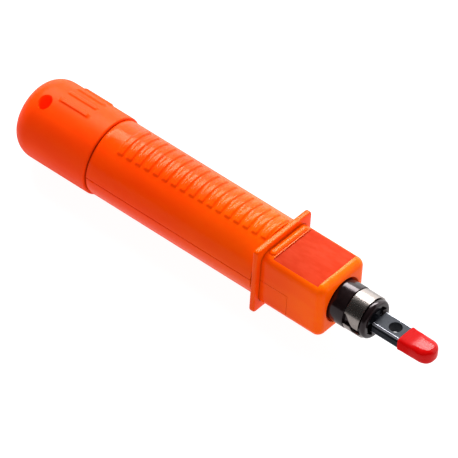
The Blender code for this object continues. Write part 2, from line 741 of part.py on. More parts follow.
def cover_outline(inset, steps=5):
    """Plan of the tip cover: small rear corners and a blunt, widely rounded front."""
    outline = []
    for quarter, side, end, corner in (
        (0, 1, 1, COVER_FRONT_CORNER), (1, 1, -1, COVER_REAR_CORNER),
        (2, -1, -1, COVER_REAR_CORNER), (3, -1, 1, COVER_FRONT_CORNER),
    ):
        radius = max(corner - inset, 0.2)
        edge = COVER_FRONT - inset if end > 0 else COVER_REAR + min(inset, 0.3)
        x = edge - end * radius
        y = side * (COVER_HALF_WIDTH - inset - radius)
        for i in range(steps + 1):
            angle = (quarter + i / steps) * math.pi / 2
            outline.append((x + radius * math.cos(angle), y + radius * math.sin(angle)))
    return outline


def build_tip_cover(material, parent):
    """Soft dipped cover: a thick rounded pad with a pocket for the blade's tip."""
    core = COVER_HALF_HEIGHT - COVER_EDGE_ROUND
    layers = []
    for middle, angles in ((-core, (-90, -60, -30, 0)), (core, (0, 30, 60, 90))):
        for degrees in angles:
            turn = math.radians(degrees)
            z = middle + COVER_EDGE_ROUND * math.sin(turn)
            layers.append((z, cover_outline(COVER_EDGE_ROUND * (1 - math.cos(turn)))))
    bm = lofted(layers)
    for vert in bm.verts:
        vert.co = vert.co.yzx
    cover = make_object("tip_cover", bm, material, parent)
    pocket = rounded_rectangle(BLADE_HALF_WIDTH + 0.2, BLADE_HALF_HEIGHT + 0.2, 0.3, 2)
    cut(cover, "tip_cover_pocket", prism(pocket, "X", COVER_REAR - 1.0, BLADE_FRONT + 0.4))


def build_tool():
    orange = make_material("orange_abs", (0.80, 0.10, 0.005), 0.3)
    cap_orange = make_material("cap_orange_abs", (0.78, 0.07, 0.002), 0.3)
    black = make_material("blackened_steel", (0.030, 0.020, 0.020), 0.25, 0.8)
    bright = make_material("bright_steel", (0.62, 0.60, 0.58), 0.25, 1.0)
    dark = make_material("dark_steel", (0.07, 0.075, 0.085), 0.4, 0.8)
    brass = make_material("brass", (0.70, 0.50, 0.20), 0.35, 1.0)
    white = make_material("white_acetal", (0.75, 0.74, 0.70), 0.45)
    rubber = make_material("black_rubber", (0.02, 0.02, 0.02), 0.7)
    red = make_material("red_dipped_vinyl", (0.72, 0.02, 0.02), 0.2)

    cap_axis = make_axis("cap_axis", CAP_LENGTH)
    holder_axis = make_axis("holder_axis", HOLDER_FRONT)
    hammer_axis = make_axis("hammer_axis", HAMMER_FRONT)
    blade_axis = make_axis("blade_axis", LUG_FRONT)
    cover_axis = make_axis("cover_axis", COVER_REAR)

    build_shell("upper_shell", orange, 1)
    build_shell("lower_shell", orange, -1)
    build_guard_ring(orange)
    build_end_cap(cap_orange, cap_axis)
    build_cap_o_ring(rubber, cap_axis)
    build_compartment_plug(white)
    build_spring_seat(white)
    build_guide_sleeve(white)
    build_cam_plate(dark)
    build_hammer(dark, hammer_axis)
    build_latch(dark, hammer_axis)
    build_latch_spring(bright, hammer_axis)
    build_return_spring_seat(bright)
    build_springs(bright)
    build_guide_bush(brass)
    build_blade_holder(black, holder_axis)
    build_stop_ring(bright, holder_axis)
    build_locking_band(bright, holder_axis)
    build_detent_ball(bright, holder_axis)
    build_blade(dark, blade_axis)
    build_tip_cover(red, cover_axis)


clear_scene()
build_tool()
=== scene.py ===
"""Looks of the spring-loaded punch down tool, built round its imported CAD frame.

Lengths in this script are millimetres until to_mesh turns them into metres. The outer
sizes come from the boxes of the CAD nodes, and finer ones are named below. The tool's axis
is X, its tip is at +X, and angles round it are degrees from the top (+Z) towards -Y.
"""

import math

import bmesh
import bpy
from mathutils import Matrix, Vector


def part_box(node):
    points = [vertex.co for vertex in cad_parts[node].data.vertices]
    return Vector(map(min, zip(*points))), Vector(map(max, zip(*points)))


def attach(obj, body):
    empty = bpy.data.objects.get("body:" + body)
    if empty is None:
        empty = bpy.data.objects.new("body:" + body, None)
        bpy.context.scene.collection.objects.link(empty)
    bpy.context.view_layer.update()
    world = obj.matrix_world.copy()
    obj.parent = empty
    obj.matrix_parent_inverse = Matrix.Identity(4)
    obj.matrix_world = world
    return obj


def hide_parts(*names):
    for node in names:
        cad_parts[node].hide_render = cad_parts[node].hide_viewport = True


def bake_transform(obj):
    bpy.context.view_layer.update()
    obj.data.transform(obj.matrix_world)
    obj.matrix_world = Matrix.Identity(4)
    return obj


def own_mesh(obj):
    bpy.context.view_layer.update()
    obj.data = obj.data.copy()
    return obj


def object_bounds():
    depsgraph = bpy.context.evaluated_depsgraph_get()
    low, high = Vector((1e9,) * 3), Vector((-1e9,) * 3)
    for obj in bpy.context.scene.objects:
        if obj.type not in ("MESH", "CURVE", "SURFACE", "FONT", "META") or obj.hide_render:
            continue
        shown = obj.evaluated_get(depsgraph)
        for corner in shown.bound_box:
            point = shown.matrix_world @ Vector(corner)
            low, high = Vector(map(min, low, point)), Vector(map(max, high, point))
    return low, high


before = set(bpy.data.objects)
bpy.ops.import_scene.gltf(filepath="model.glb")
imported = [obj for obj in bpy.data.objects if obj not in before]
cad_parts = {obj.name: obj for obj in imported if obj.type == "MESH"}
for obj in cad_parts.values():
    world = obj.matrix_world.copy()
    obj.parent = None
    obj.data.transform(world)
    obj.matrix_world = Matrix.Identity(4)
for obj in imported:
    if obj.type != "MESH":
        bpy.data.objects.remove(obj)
CAD_BOUNDS = [list(corner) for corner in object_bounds()]

MM = 0.001
ROUND = 144


class Box:
    """Lowest and highest corner of a CAD node, in millimetres."""

    def __init__(self, node):
        low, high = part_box(node)
        self.x0, self.y0, self.z0 = (value / MM for value in low)
        self.x1, self.y1, self.z1 = (value / MM for value in high)


CAP = Box("end_cap")
UPPER = Box("upper_shell")
LOWER = Box("lower_shell")
GUARD = Box("guard_ring")
HOLDER = Box("blade_holder")
BAND = Box("locking_band")
BLADE = Box("blade")
COVER = Box("tip_cover")
O_RING = Box("cap_o_ring")
BUSH = Box("guide_bush")
PLUG = Box("compartment_plug")
SEAT = Box("main_spring_seat")
STOP = Box("stop_ring")
LATCH = Box("latch")
LEAF = Box("latch_spring")

# Handle.
GAP = 0.3
SEAM = 0.12
CAP_RADIUS = CAP.y1
CAP_DOME_RADIUS = 8.0
CAP_WALL = 2.0
NECK_REAR = UPPER.x0
NECK_RADIUS = CAP_RADIUS - CAP_WALL - GAP
BODY_REAR = CAP.x1 + GAP
BODY_RADIUS = UPPER.y1
BODY_FRONT = GUARD.x0 - GAP
GRIP_HEIGHT = UPPER.z1 - BODY_RADIUS
GRIP_COUNT = 17
GRIP_FIRST_X = BODY_REAR + 9.3
GRIP_PITCH = 3.92
GRIP_WIDTH = 2.5
GRIP_REAR_ANGLE = 33.0
GRIP_FRONT_ANGLE = 27.0
CAP_GRIP_ANGLES = (10.0, -7.5, -25.0, -42.5)
CAP_GRIP_SPAN = (13.0, 26.3)
CAP_GRIP_HALF_ANGLE = 3.0
LANYARD_X = 9.4
LANYARD_ANGLE = 25.0
LANYARD_RADIUS = 2.9
LANYARD_WALL = 1.2
LANYARD_NARROWING = 0.74

# Nose.
NOSE_FRONT = UPPER.x1
NOSE_HALF_WIDTH = 11.9
NOSE_HALF_HEIGHT = -UPPER.z0
NOSE_CORNER = 3.4
NOSE_FRONT_ROUND = 3.0
NOSE_BORE = 8.5
SEAM_STEP_X = LOWER.x1 + GAP / 2
PANEL_REAR = GUARD.x1 + 3.6
PANEL_FRONT = NOSE_FRONT - 3.2
PANEL_Z = NOSE_HALF_HEIGHT - 0.45
BEAD_X = GUARD.x1 + 1.9
BEAD_HALF_WIDTH = 1.4
BEAD_RISE = 0.85
BEAD_HALF_LENGTH = 9.4

# Inside of the shells.
STORE_RADIUS = 10.4
CHAMBER_RADIUS = 12.4
CHAMBER_RIBS = (70.0, 84.0)
CHAMBER_RIB_WIDTH = 2.0
CHAMBER_RIB_RADIUS = 9.8
NOSE_CHAMBER_REAR = 103.6
NOSE_CHAMBER_RADIUS = 9.6
NOSE_CHAMBER_FRONT = BUSH.x1 + GAP

# Blade holder and its band.
STEM_RADIUS = 2.5
COLLAR_REAR = 119.5
COLLAR_RADIUS = 7.4
STOP_GROOVE_RADIUS = 5.8
BARREL_RADIUS = HOLDER.y1
HOLDER_FACE = HOLDER.x1 - 0.4
SOCKET_REAR = 132.5
SOCKET_BORE = 3.4
SOCKET_RADIUS = 4.4
SOCKET_ARM_REACH = 5.35
SOCKET_ARM_HALF_WIDTH = 1.9
LUG_CAVITY_RADIUS = 5.8
BAND_OUTER = BAND.y1
BAND_THICKNESS = 0.7
BAND_FLOOR = BAND_OUTER - 1.05

# Blade.
SHANK_RADIUS = 3.1
SHANK_GROOVE = (144.4, 147.6)
SHANK_GROOVE_RADIUS = 2.4
LUG_REAR = 148.6
LUG_FRONT = 151.2
LUG_HALF_HEIGHT = 1.5
BLADE_NECK_RADIUS = 1.9
BLADE_REAR = 153.8
BLADE_HALF_WIDTH = 3.85
BLADE_HALF_HEIGHT = 2.25
BLADE_CHAMFER = 0.45
BLADE_TIP_HALF_WIDTH = 3.0
BLADE_TIP_REAR = COVER.x0 + 3.0
BLADE_HOLE_X = 160.8
BLADE_HOLE_RADIUS = 2.3
BLADE_SLOT_HALF_WIDTH = 0.45
BLADE_SLOT_LENGTH = 4.5

# Springs: a coil is its mean radius, wire radius and number of turns.
MAIN_COIL = (5.6, 0.6, 7)
RETURN_COIL = (8.3, 0.45, 5)
LEAF_LENGTH = 8.2
LEAF_THICKNESS = 0.35


# Curves, outlines and solids.


def smoothstep(low, high, value):
    share = min(max((value - low) / (high - low), 0.0), 1.0)
    return share * share * (3 - 2 * share)


def hump(value, middle, half_width, edge):
    """1 within half_width of the middle, falling smoothly to 0 over the edge outside it."""
    return 1.0 - smoothstep(half_width - edge / 2, half_width + edge / 2, abs(value - middle))


def spread(low, high, steps):
    return [low + (high - low) * i / steps for i in range(steps + 1)]


def arc_points(centre_x, centre_r, radius, start, end, steps=6):
    """Points of an arc in the (x, radius) plane; angles in degrees, 0 points to +X."""
    return [
        (centre_x + radius * math.cos(math.radians(a)), centre_r + radius * math.sin(math.radians(a)))
        for a in spread(start, end, steps)
    ]


def on_round(x, radius, degrees):
    angle = math.radians(degrees)
    return Vector((x, -radius * math.sin(angle), radius * math.cos(angle)))


def rounded_rectangle(half_a, half_b, radius, steps=10):
    """Outline of a rectangle about the origin whose corners are quarter circles."""
    outline = []
    for quarter, (a, b) in enumerate(((1, 1), (-1, 1), (-1, -1), (1, -1))):
        for share in spread(quarter, quarter + 1, steps):
            angle = share * math.pi / 2
            outline.append((
                a * (half_a - radius) + radius * math.cos(angle),
                b * (half_b - radius) + radius * math.sin(angle),
            ))
    return outline


def circle(radius, steps):
    return [
        (radius * math.cos(math.tau * i / steps), radius * math.sin(math.tau * i / steps))
        for i in range(steps)
    ]


def super_outline(half_a, half_b, power, steps=72):
    """Rounded oblong outline; a higher power is closer to a rectangle."""
    outline = []
    for i in range(steps):
        angle = math.tau * i / steps
        c, s = math.cos(angle), math.sin(angle)
        outline.append((
            half_a * math.copysign(abs(c) ** (2 / power), c),
            half_b * math.copysign(abs(s) ** (2 / power), s),
        ))
    return outline


def quarter_round(x, front, radius):
    """How far a rounded front edge of this radius has fallen away at x."""
    into = max(x - (front - radius), 0.0)
    return radius - math.sqrt(max(radius ** 2 - into ** 2, 0.0))


def revolve(profile, steps=ROUND, relief=None):
    """Closed outline of (x, radius) points turned about X; relief(x, angle) adds to outer points.

    A point may carry True as a third value, which lets the relief move it.
    """
    bm = bmesh.new()
    rings = []
    for point in profile:
        x, radius = point[0], point[1]
        if radius < 1e-6:
            rings.append([bm.verts.new((x, 0.0, 0.0))])
            continue
        ring = []
        for i in range(steps):
            angle = 360.0 * i / steps
            lift = relief(x, angle) if relief and len(point) == 3 else 0.0
            ring.append(bm.verts.new(on_round(x, radius + lift, angle)))
        rings.append(ring)
    closed = zip(rings, rings[1:] + rings[:1])
    for back, front in closed:
        if len(back) == 1 and len(front) == 1:
            continue
        for i in range(steps):
            j = (i + 1) % steps
            corners = [back[i % len(back)], back[j % len(back)], front[j % len(front)], front[i % len(front)]]
            unique = [v for k, v in enumerate(corners) if v is not corners[k - 1]]
            bm.faces.new(unique)
    return bm


def skin(bm, rows, wrap=True):
    """Quads between each row of vertices and the next; wrap also joins a row's two ends."""
    for back, front in zip(rows, rows[1:]):
        for i in range(len(back) if wrap else len(back) - 1):
            j = (i + 1) % len(back)
            bm.faces.new((back[i], back[j], front[j], front[i]))


def lofted(sections):
    """Closed solid through (x, outline) sections that have the same number of points."""
    bm = bmesh.new()
    rings = [[bm.verts.new((x, y, z)) for y, z in outline] for x, outline in sections]
    skin(bm, rings)
    bm.faces.new(rings[0])
    bm.faces.new(rings[-1])
    return bm


def prism(outline, axis, start, end):
    """Straight prism from an outline; axis X takes (y, z) points, Y (x, z) and Z (x, y)."""
    order = {"X": (2, 0, 1), "Y": (0, 2, 1), "Z": (0, 1, 2)}[axis]
    bm = bmesh.new()
    ends = []
    for t in (start, end):
        ring = []
        for a, b in outline:
            values = (a, b, t)
            ring.append(bm.verts.new([values[k] for k in order]))
        ends.append(ring)
    for ring in ends:
        bm.faces.new(ring)
    for i in range(len(outline)):
        j = (i + 1) % len(outline)
        bm.faces.new((ends[0][i], ends[0][j], ends[1][j], ends[1][i]))
    return bm


def block(x, y, z):
    corners = ((y[0], z[0]), (y[1], z[0]), (y[1], z[1]), (y[0], z[1]))
    return prism(corners, "X", *x)


def to_mesh(name, bm):
    bmesh.ops.recalc_face_normals(bm, faces=bm.faces)
    bm.transform(Matrix.Scale(MM, 4))
    mesh = bpy.data.meshes.new(name)
    bm.to_mesh(mesh)
    bm.free()
    return mesh


def boolean(mesh, operation, *shapes):
    """The mesh after one exact Boolean with each shape in turn; the helpers are removed."""
    obj = bpy.data.objects.new("boolean_body", mesh)
    bpy.context.scene.collection.objects.link(obj)
    helpers = []
    for shape in shapes:
        helper = bpy.data.objects.new("boolean_tool", to_mesh("boolean_tool", shape))
        bpy.context.scene.collection.objects.link(helper)
        modifier = obj.modifiers.new("step", "BOOLEAN")
        modifier.operation = operation
        modifier.solver = "EXACT"
        modifier.object = helper
        helpers.append(helper)
    graph = bpy.context.evaluated_depsgraph_get()
    result = bpy.data.meshes.new_from_object(obj.evaluated_get(graph))
    for used in helpers + [obj]:
        bpy.data.objects.remove(used, do_unlink=True)
    return result


def make_piece(name, mesh, material, body, node, sharp=32.0, bevel=0.0):
    """Puts a finished mesh in the scene for one CAD node, which it hides; with a body, the piece is attached
    to that body.
    """
    mesh.name = name
    mesh.shade_smooth()
    mesh.set_sharp_from_angle(angle=math.radians(sharp))
    mesh.materials.clear()
    mesh.materials.append(material)
    obj = bpy.data.objects.new(name, mesh)
    bpy.context.scene.collection.objects.link(obj)
    if bevel:
        modifier = obj.modifiers.new("edge_round", "BEVEL")
        modifier.width = bevel * MM
        modifier.segments = 2
        modifier.limit_method = "ANGLE"
        modifier.angle_limit = math.radians(40)
        modifier.harden_normals = True
    if body:
        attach(obj, body)
    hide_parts(node)
    return obj


# Materials: each is a Principled shader with a procedural colour, roughness and bump.


class Shader:
    """Small helper to add and link nodes of one material."""

    def __init__(self, name):
        self.material = bpy.data.materials.new(name)
        self.material.use_nodes = True
        self.tree = self.material.node_tree
        self.principled = self.tree.nodes["Principled BSDF"]
        coordinates = self.tree.nodes.new("ShaderNodeTexCoord")
        self.position = coordinates.outputs["Object"]

    def put(self, target, value):
        if isinstance(value, bpy.types.NodeSocket):
            self.tree.links.new(value, target)
        else:
            target.default_value = value

    def set(self, **inputs):
        for name, value in inputs.items():
            self.put(self.principled.inputs[name.replace("_", " ")], value)

    def math(self, operation, a, b=0.0):
        node = self.tree.nodes.new("ShaderNodeMath")
        node.operation = operation
        self.put(node.inputs[0], a)
        self.put(node.inputs[1], b)
        return node.outputs[0]

    def split(self, vector):
        node = self.tree.nodes.new("ShaderNodeSeparateXYZ")
        self.put(node.inputs[0], vector)
        return node.outputs

    def join(self, x, y, z):
        node = self.tree.nodes.new("ShaderNodeCombineXYZ")
        for socket, value in zip(node.inputs, (x, y, z)):
            self.put(socket, value)
        return node.outputs[0]

    def noise(self, size_mm, detail=2.0, stretch=(1.0, 1.0, 1.0), vector=None, roughness=0.5):
        """Noise whose grains are about size_mm across, before the stretch."""
        scale = self.tree.nodes.new("ShaderNodeVectorMath")
        scale.operation = "MULTIPLY"
        self.put(scale.inputs[0], vector or self.position)
        per_metre = 1.0 / (size_mm * MM)
        scale.inputs[1].default_value = [per_metre / s for s in stretch]
        node = self.tree.nodes.new("ShaderNodeTexNoise")
        node.inputs["Scale"].default_value = 1.0
        node.inputs["Detail"].default_value = detail
        node.inputs["Roughness"].default_value = roughness
        self.put(node.inputs["Vector"], scale.outputs[0])
        return node.outputs["Fac"]

    def span(self, value, low, high, to_low=0.0, to_high=1.0):
        """Maps low..high to to_low..to_high, clamped, with a smooth step."""
        node = self.tree.nodes.new("ShaderNodeMapRange")
        node.interpolation_type = "SMOOTHSTEP"
        for k, number in enumerate((value, low, high, to_low, to_high)):
            self.put(node.inputs[k], number)
        return node.outputs[0]

    def mix_number(self, share, a, b):
        node = self.tree.nodes.new("ShaderNodeMix")
        self.put(node.inputs[0], share)
        self.put(node.inputs[2], a)
        self.put(node.inputs[3], b)
        return node.outputs[0]

    def mix(self, share, a, b):
        node = self.tree.nodes.new("ShaderNodeMix")
        node.data_type = "RGBA"
        self.put(node.inputs[0], share)
        self.put(node.inputs[6], a)
        self.put(node.inputs[7], b)
        return node.outputs[2]

    def openness(self, reach):
        """1 on open faces, falling towards 0 where faces closer than the reach (mm) shut light out."""
        node = self.tree.nodes.new("ShaderNodeAmbientOcclusion")
        node.samples = 4
        node.inputs["Distance"].default_value = reach * MM
        return node.outputs["AO"]

    def facing(self):
        """0 where the surface faces the viewer, rising to 1 at the outline."""
        return self.tree.nodes.new("ShaderNodeLayerWeight").outputs["Facing"]

    def bump(self, height, distance_mm, strength=1.0, normal=None):
        node = self.tree.nodes.new("ShaderNodeBump")
        node.inputs["Strength"].default_value = strength
        node.inputs["Distance"].default_value = distance_mm * MM
        self.put(node.inputs["Height"], height)
        if normal:
            self.put(node.inputs["Normal"], normal)
        return node.outputs[0]

    def around(self):
        """(x, angle, radius) of the point round the tool's axis, in metres and radians."""
        x, y, z = self.split(self.position)
        angle = self.math("ARCTAN2", y, z)
        across = self.math("ADD", self.math("MULTIPLY", y, y), self.math("MULTIPLY", z, z))
        return x, angle, self.math("SQRT", across)


def colour(red, green, blue):
    """Opaque linear colour."""
    return (red, green, blue, 1.0)


def moulded_orange(name, base, deep, rough, shine):
    """Moulded ABS with faint flow marks, and painted light: an orange glow of its own, dimmed as painted
    shade down in crevices.

    As painted light from the front, it is yellower towards the nose, and its painted glow grows over the last
    centimetres.
    """
    shader = Shader(name)
    x, _, _ = shader.split(shader.position)
    # Painted light: the nose's last centimetres are made yellower and glow more, as if lit from the front.
    front = shader.span(x, (NOSE_FRONT - 22.0) * MM, (NOSE_FRONT - 2.0) * MM)
    # Painted light: the green rises along the body towards the nose.
    along = shader.span(x, 55.0 * MM, 115.0 * MM, 1.1, 1.8)
    painted_front_light = shader.math("ADD", along, front)
    # Painted shade: the painted glow is dimmed where ambient occlusion finds crevices.
    painted_glow_outside_crevices = shader.span(shader.openness(1.5), 0.35, 0.95)
    glow = shader.math("ADD", painted_glow_outside_crevices, shader.math("MULTIPLY", front, 0.4))
    flow = shader.noise(5.0, 3.0, stretch=(4.0, 1.0, 1.0))
    shade = shader.mix(shader.span(flow, 0.3, 0.7), base, deep)
    grain = shader.noise(0.22, 2.0)
    waves = shader.noise(2.4, 1.0)
    fine = shader.bump(grain, 0.006, 0.25)
    normal = shader.bump(waves, 0.04, 0.2, fine)
    red, green, blue = shader.split(shade)
    shader.set(
        # Painted light: the base colour's green is multiplied up towards the nose.
        Base_Color=shader.join(red, shader.math("MULTIPLY", green, painted_front_light), blue),
        Roughness=shader.span(shader.noise(1.2, 3.0), 0.3, 0.7, rough, rough + 0.08),
        Specular_IOR_Level=shader.span(shader.facing(), 0.62, 0.92, shine, 0.0),
        Specular_Tint=colour(1.0, 0.8, 0.4),
        Subsurface_Weight=0.15,
        Subsurface_Scale=2.0 * MM,
        Subsurface_Radius=(1.0, 0.2, 0.05),
        # Painted glow: the plastic emits orange light of its own, though it is no lamp.
        Emission_Color=colour(0.31, 0.008, 0.0),
        Emission_Strength=glow,
        Normal=normal,
    )
    return shader


def panelled_orange():
    """The shells' plastic, with a redder satin finish on the flat label panel."""
    shader = moulded_orange(
        "orange_abs", colour(0.84, 0.060, 0.001), colour(0.80, 0.050, 0.001), 0.14, 0.12
    )
    x, _, z = shader.split(shader.position)
    above = shader.math("GREATER_THAN", z, (PANEL_Z - 0.03) * MM)
    below = shader.math("LESS_THAN", z, (PANEL_Z + 0.03) * MM)
    behind = shader.math("GREATER_THAN", x, (PANEL_REAR - 0.02) * MM)
    ahead = shader.math("LESS_THAN", x, (PANEL_FRONT + 0.02) * MM)
    level = shader.math("MULTIPLY", above, below)
    inside = shader.math("MULTIPLY", behind, ahead)
    panel = shader.math("MULTIPLY", level, inside)
    inputs = shader.principled.inputs
    plastic = inputs["Base Color"].links[0].from_socket
    smooth = inputs["Roughness"].links[0].from_socket
    shine = inputs["Specular IOR Level"].links[0].from_socket
    cloud = shader.noise(2.0, 4.0, stretch=(2.5, 1.0, 1.0))
    satin = shader.mix(shader.span(cloud, 0.3, 0.7), colour(0.33, 0.023, 0.005), colour(0.38, 0.036, 0.012))
    rough = shader.math("MULTIPLY", panel, 0.4)
    shader.set(
        Base_Color=shader.mix(panel, plastic, satin),
        Roughness=shader.math("ADD", smooth, rough),
        Specular_IOR_Level=shader.mix_number(panel, shine, 0.05),
    )
    return shader.material


def blackened_steel():
    """Turned and oil-blackened steel: fine lathe rings and a warm dark sheen."""
    shader = Shader("blackened_steel")
    x, _, _ = shader.split(shader.position)
    rings = shader.noise(0.09, 2.0, vector=shader.join(x, 0.0, 0.0))
    patina = shader.noise(1.8, 4.0)
    shader.set(
        Base_Color=shader.mix(patina, colour(0.006, 0.003, 0.003), colour(0.018, 0.010, 0.011)),
        Specular_IOR_Level=0.4,
        Specular_Tint=colour(1.0, 0.86, 0.9),
        Roughness=shader.span(patina, 0.3, 0.7, 0.10, 0.20),
        Normal=shader.bump(rings, 0.006, 0.5),
    )
    return shader.material


def bright_steel():
    """Rolled spring steel, brushed round the axis, with faint handling marks."""
    shader = Shader("bright_steel")
    x, angle, radius = shader.around()
    arc = shader.math("MULTIPLY", shader.math("MULTIPLY", angle, radius), 0.04)
    lines = shader.noise(0.05, 3.0, vector=shader.join(x, arc, 0.0))
    marks = shader.noise(1.5, 4.0)
    shader.set(
        Base_Color=shader.mix(marks, colour(0.30, 0.265, 0.245), colour(0.40, 0.355, 0.335)),
        Metallic=1.0,
        Roughness=shader.span(lines, 0.25, 0.75, 0.18, 0.28),
        Normal=shader.bump(lines, 0.004, 0.6),
    )
    return shader.material


def dark_steel():
    """Phosphated tool steel: dull blue-grey with a fine grain, ground bright on its chamfers."""
    shader = Shader("dark_steel")
    grain = shader.noise(0.4, 4.0, roughness=0.75)
    cloud = shader.noise(1.6, 3.0)
    _, y, z = shader.split(shader.position)
    out_y = shader.math("SUBTRACT", shader.math("ABSOLUTE", y), BLADE_HALF_WIDTH * MM)
    out_z = shader.math("SUBTRACT", shader.math("ABSOLUTE", z), BLADE_HALF_HEIGHT * MM)
    corner = shader.math("ADD", out_y, out_z)
    ground = shader.span(corner, -(BLADE_CHAMFER + 0.15) * MM, -(BLADE_CHAMFER + 0.04) * MM)
    black, grey, slate = (
        colour(0.006, 0.007, 0.010), colour(0.030, 0.033, 0.044), colour(0.014, 0.015, 0.021)
    )
    dull = shader.mix(shader.span(grain, 0.35, 0.65), black, grey)
    dull = shader.mix(shader.span(cloud, 0.4, 0.8), dull, slate)
    shader.set(
        Base_Color=shader.mix(ground, dull, colour(0.60, 0.60, 0.66)),
        Metallic=shader.span(ground, 0.0, 1.0, 0.0, 0.9),
        Specular_IOR_Level=0.14,
        Specular_Tint=colour(0.86, 0.92, 1.0),
        Roughness=shader.span(grain, 0.3, 0.7, 0.34, 0.52),
        Normal=shader.bump(grain, 0.012, 0.6),
    )
    return shader.material


def dipped_vinyl():
    """Soft red vinyl with the sag of a dipped coat, glossiest where it gathers at the front, with a painted
    red glow of its own.
    """
    shader = Shader("red_dipped_vinyl")
    sag = shader.noise(2.2, 1.0, stretch=(1.8, 1.0, 1.0))
    cloud = shader.noise(1.5, 2.0)
    x, _, _ = shader.split(shader.position)
    drip = shader.span(x, (COVER.x0 + 3.0) * MM, (COVER.x0 + 7.5) * MM)
    shader.set(
        Base_Color=shader.mix(cloud, colour(0.32, 0.002, 0.002), colour(0.38, 0.004, 0.004)),
        Roughness=shader.span(drip, 0.0, 1.0, 0.45, 0.14),
        Specular_IOR_Level=shader.span(drip, 0.0, 1.0, 0.03, 0.14),
        Subsurface_Weight=0.2,
        Subsurface_Scale=2.0 * MM,
        Subsurface_Radius=(1.0, 0.12, 0.08),
        # Painted glow: the vinyl emits red light of its own, though it is no lamp.
        Emission_Color=colour(0.32, 0.0, 0.0),
        Emission_Strength=1.0,
        Normal=shader.bump(sag, 0.10, 0.5),
    )
    return shader.material


def turned_brass():
    shader = Shader("turned_brass")
    x, _, _ = shader.split(shader.position)
    rings = shader.noise(0.1, 2.0, vector=shader.join(x, 0.0, 0.0))
    tarnish = shader.noise(2.0, 4.0)
    shader.set(
        Base_Color=shader.mix(tarnish, colour(0.60, 0.40, 0.14), colour(0.78, 0.56, 0.24)),
        Metallic=1.0,
        Roughness=shader.span(tarnish, 0.3, 0.7, 0.22, 0.40),
        Normal=shader.bump(rings, 0.006, 0.5),
    )
    return shader.material


def natural_acetal():
    shader = Shader("natural_acetal")
    cloud = shader.noise(4.0, 3.0)
    grain = shader.noise(0.25, 2.0)
    shader.set(
        Base_Color=shader.mix(cloud, colour(0.74, 0.72, 0.66), colour(0.82, 0.80, 0.75)),
        Roughness=shader.span(grain, 0.3, 0.7, 0.38, 0.52),
        Subsurface_Weight=0.2,
        Subsurface_Scale=2.0 * MM,
        Normal=shader.bump(grain, 0.01, 0.4),
    )
    return shader.material


def black_rubber():
    shader = Shader("black_rubber")
    grain = shader.noise(0.2, 3.0)
    bloom = shader.noise(3.0, 3.0)
    shader.set(
        Base_Color=shader.mix(bloom, colour(0.014, 0.014, 0.014), colour(0.030, 0.030, 0.032)),
        Roughness=shader.span(grain, 0.3, 0.7, 0.55, 0.75),
        Normal=shader.bump(grain, 0.02, 0.5),
    )
    return shader.material


# Handle pieces.


def cap_relief(x, angle):
    """Height of the lengthwise grips on both sides of the cap."""
    start, end = CAP_GRIP_SPAN
    along = hump(x, (start + end) / 2, (end - start) / 2 - 0.4, 1.4)
    if along == 0.0:
        return 0.0
    height = 0.0
    for grip in CAP_GRIP_ANGLES:
        for middle in (grip, 180.0 - grip):
            apart = (angle - middle + 180.0) % 360.0 - 180.0
            height = max(height, hump(apart, 0.0, CAP_GRIP_HALF_ANGLE, 2.6))
    return (CAP.z1 - CAP_RADIUS) * along * height


def build_end_cap(material):
    """Domed cap with its lengthwise grips and a slanting oval sleeve for the lanyard."""
    centre = (CAP_DOME_RADIUS, CAP_RADIUS - CAP_DOME_RADIUS)
    inner = CAP_RADIUS - CAP_WALL
    fillet, inner_fillet = 0.5, 0.3
    profile = [(0.0, 0.0), (0.0, 3.0)]
    profile += arc_points(*centre, CAP_DOME_RADIUS, 180, 90, 22)
    profile += [(x, CAP_RADIUS, True) for x in spread(CAP_DOME_RADIUS + 0.4, CAP.x1 - fillet, 74)]
    profile += arc_points(CAP.x1 - fillet, CAP_RADIUS - fillet, fillet, 72, 0, 4)
    profile += arc_points(CAP.x1 - inner_fillet, inner + inner_fillet, inner_fillet, 0, -90, 3)
    profile += arc_points(*centre, CAP_DOME_RADIUS - CAP_WALL, 90, 180, 10)
    profile += [(CAP_WALL, 0.0)]
    reach = CAP_RADIUS - 1.2
    wall = LANYARD_RADIUS + LANYARD_WALL
    sleeve = revolve([(-reach, 0.0), (-reach, wall), (reach, wall), (reach, 0.0)], 48)
    hole = revolve(lanyard_profile(), 64)
    for shape in (sleeve, hole):
        shape.transform(Matrix.Rotation(math.radians(-90), 4, "Y"))
        shape.transform(Matrix.Scale(LANYARD_NARROWING, 4, (1.0, 0.0, 0.0)))
        shape.transform(Matrix.Rotation(math.radians(LANYARD_ANGLE), 4, "X"))
        shape.transform(Matrix.Translation((LANYARD_X, 0.0, 0.0)))
    mesh = boolean(to_mesh("end_cap", revolve(profile, 360, cap_relief)), "UNION", sleeve)
    mesh = boolean(mesh, "DIFFERENCE", hole)
    make_piece("end_cap_moulding", mesh, material, "cap", "end_cap")


def lanyard_profile():
    """Outline of the hole's cutter along its own axis, flared where it leaves the cap."""
    flare = 0.7
    surface = CAP_RADIUS - 0.05
    half = [(0.0, LANYARD_RADIUS)]
    half += arc_points(surface - flare, LANYARD_RADIUS + flare, flare, -90, -30, 5)
    half.append((CAP_RADIUS + 2.0, half[-1][1] + 2.0))
    mirrored = [(-t, r) for t, r in reversed(half[1:])]
    return [(-CAP_RADIUS - 2.0, 0.0)] + mirrored + half + [(CAP_RADIUS + 2.0, 0.0)]


def grip_relief(x, angle):
    """Height of the cross ribs at a point of one shell; angle is from the shell's crown."""
    place = (x - GRIP_FIRST_X) / GRIP_PITCH
    index = min(max(round(place), 0), GRIP_COUNT - 1)
    middle = GRIP_FIRST_X + GRIP_PITCH * index
    forward = index / (GRIP_COUNT - 1)
    reach = GRIP_REAR_ANGLE + (GRIP_FRONT_ANGLE - GRIP_REAR_ANGLE) * forward
    across = hump(x, middle, GRIP_WIDTH / 2 - 0.1, 0.7)
    if across == 0.0:
        return 0.0
    return GRIP_HEIGHT * across * hump(angle, 0.0, reach - 1.0, 3.5)


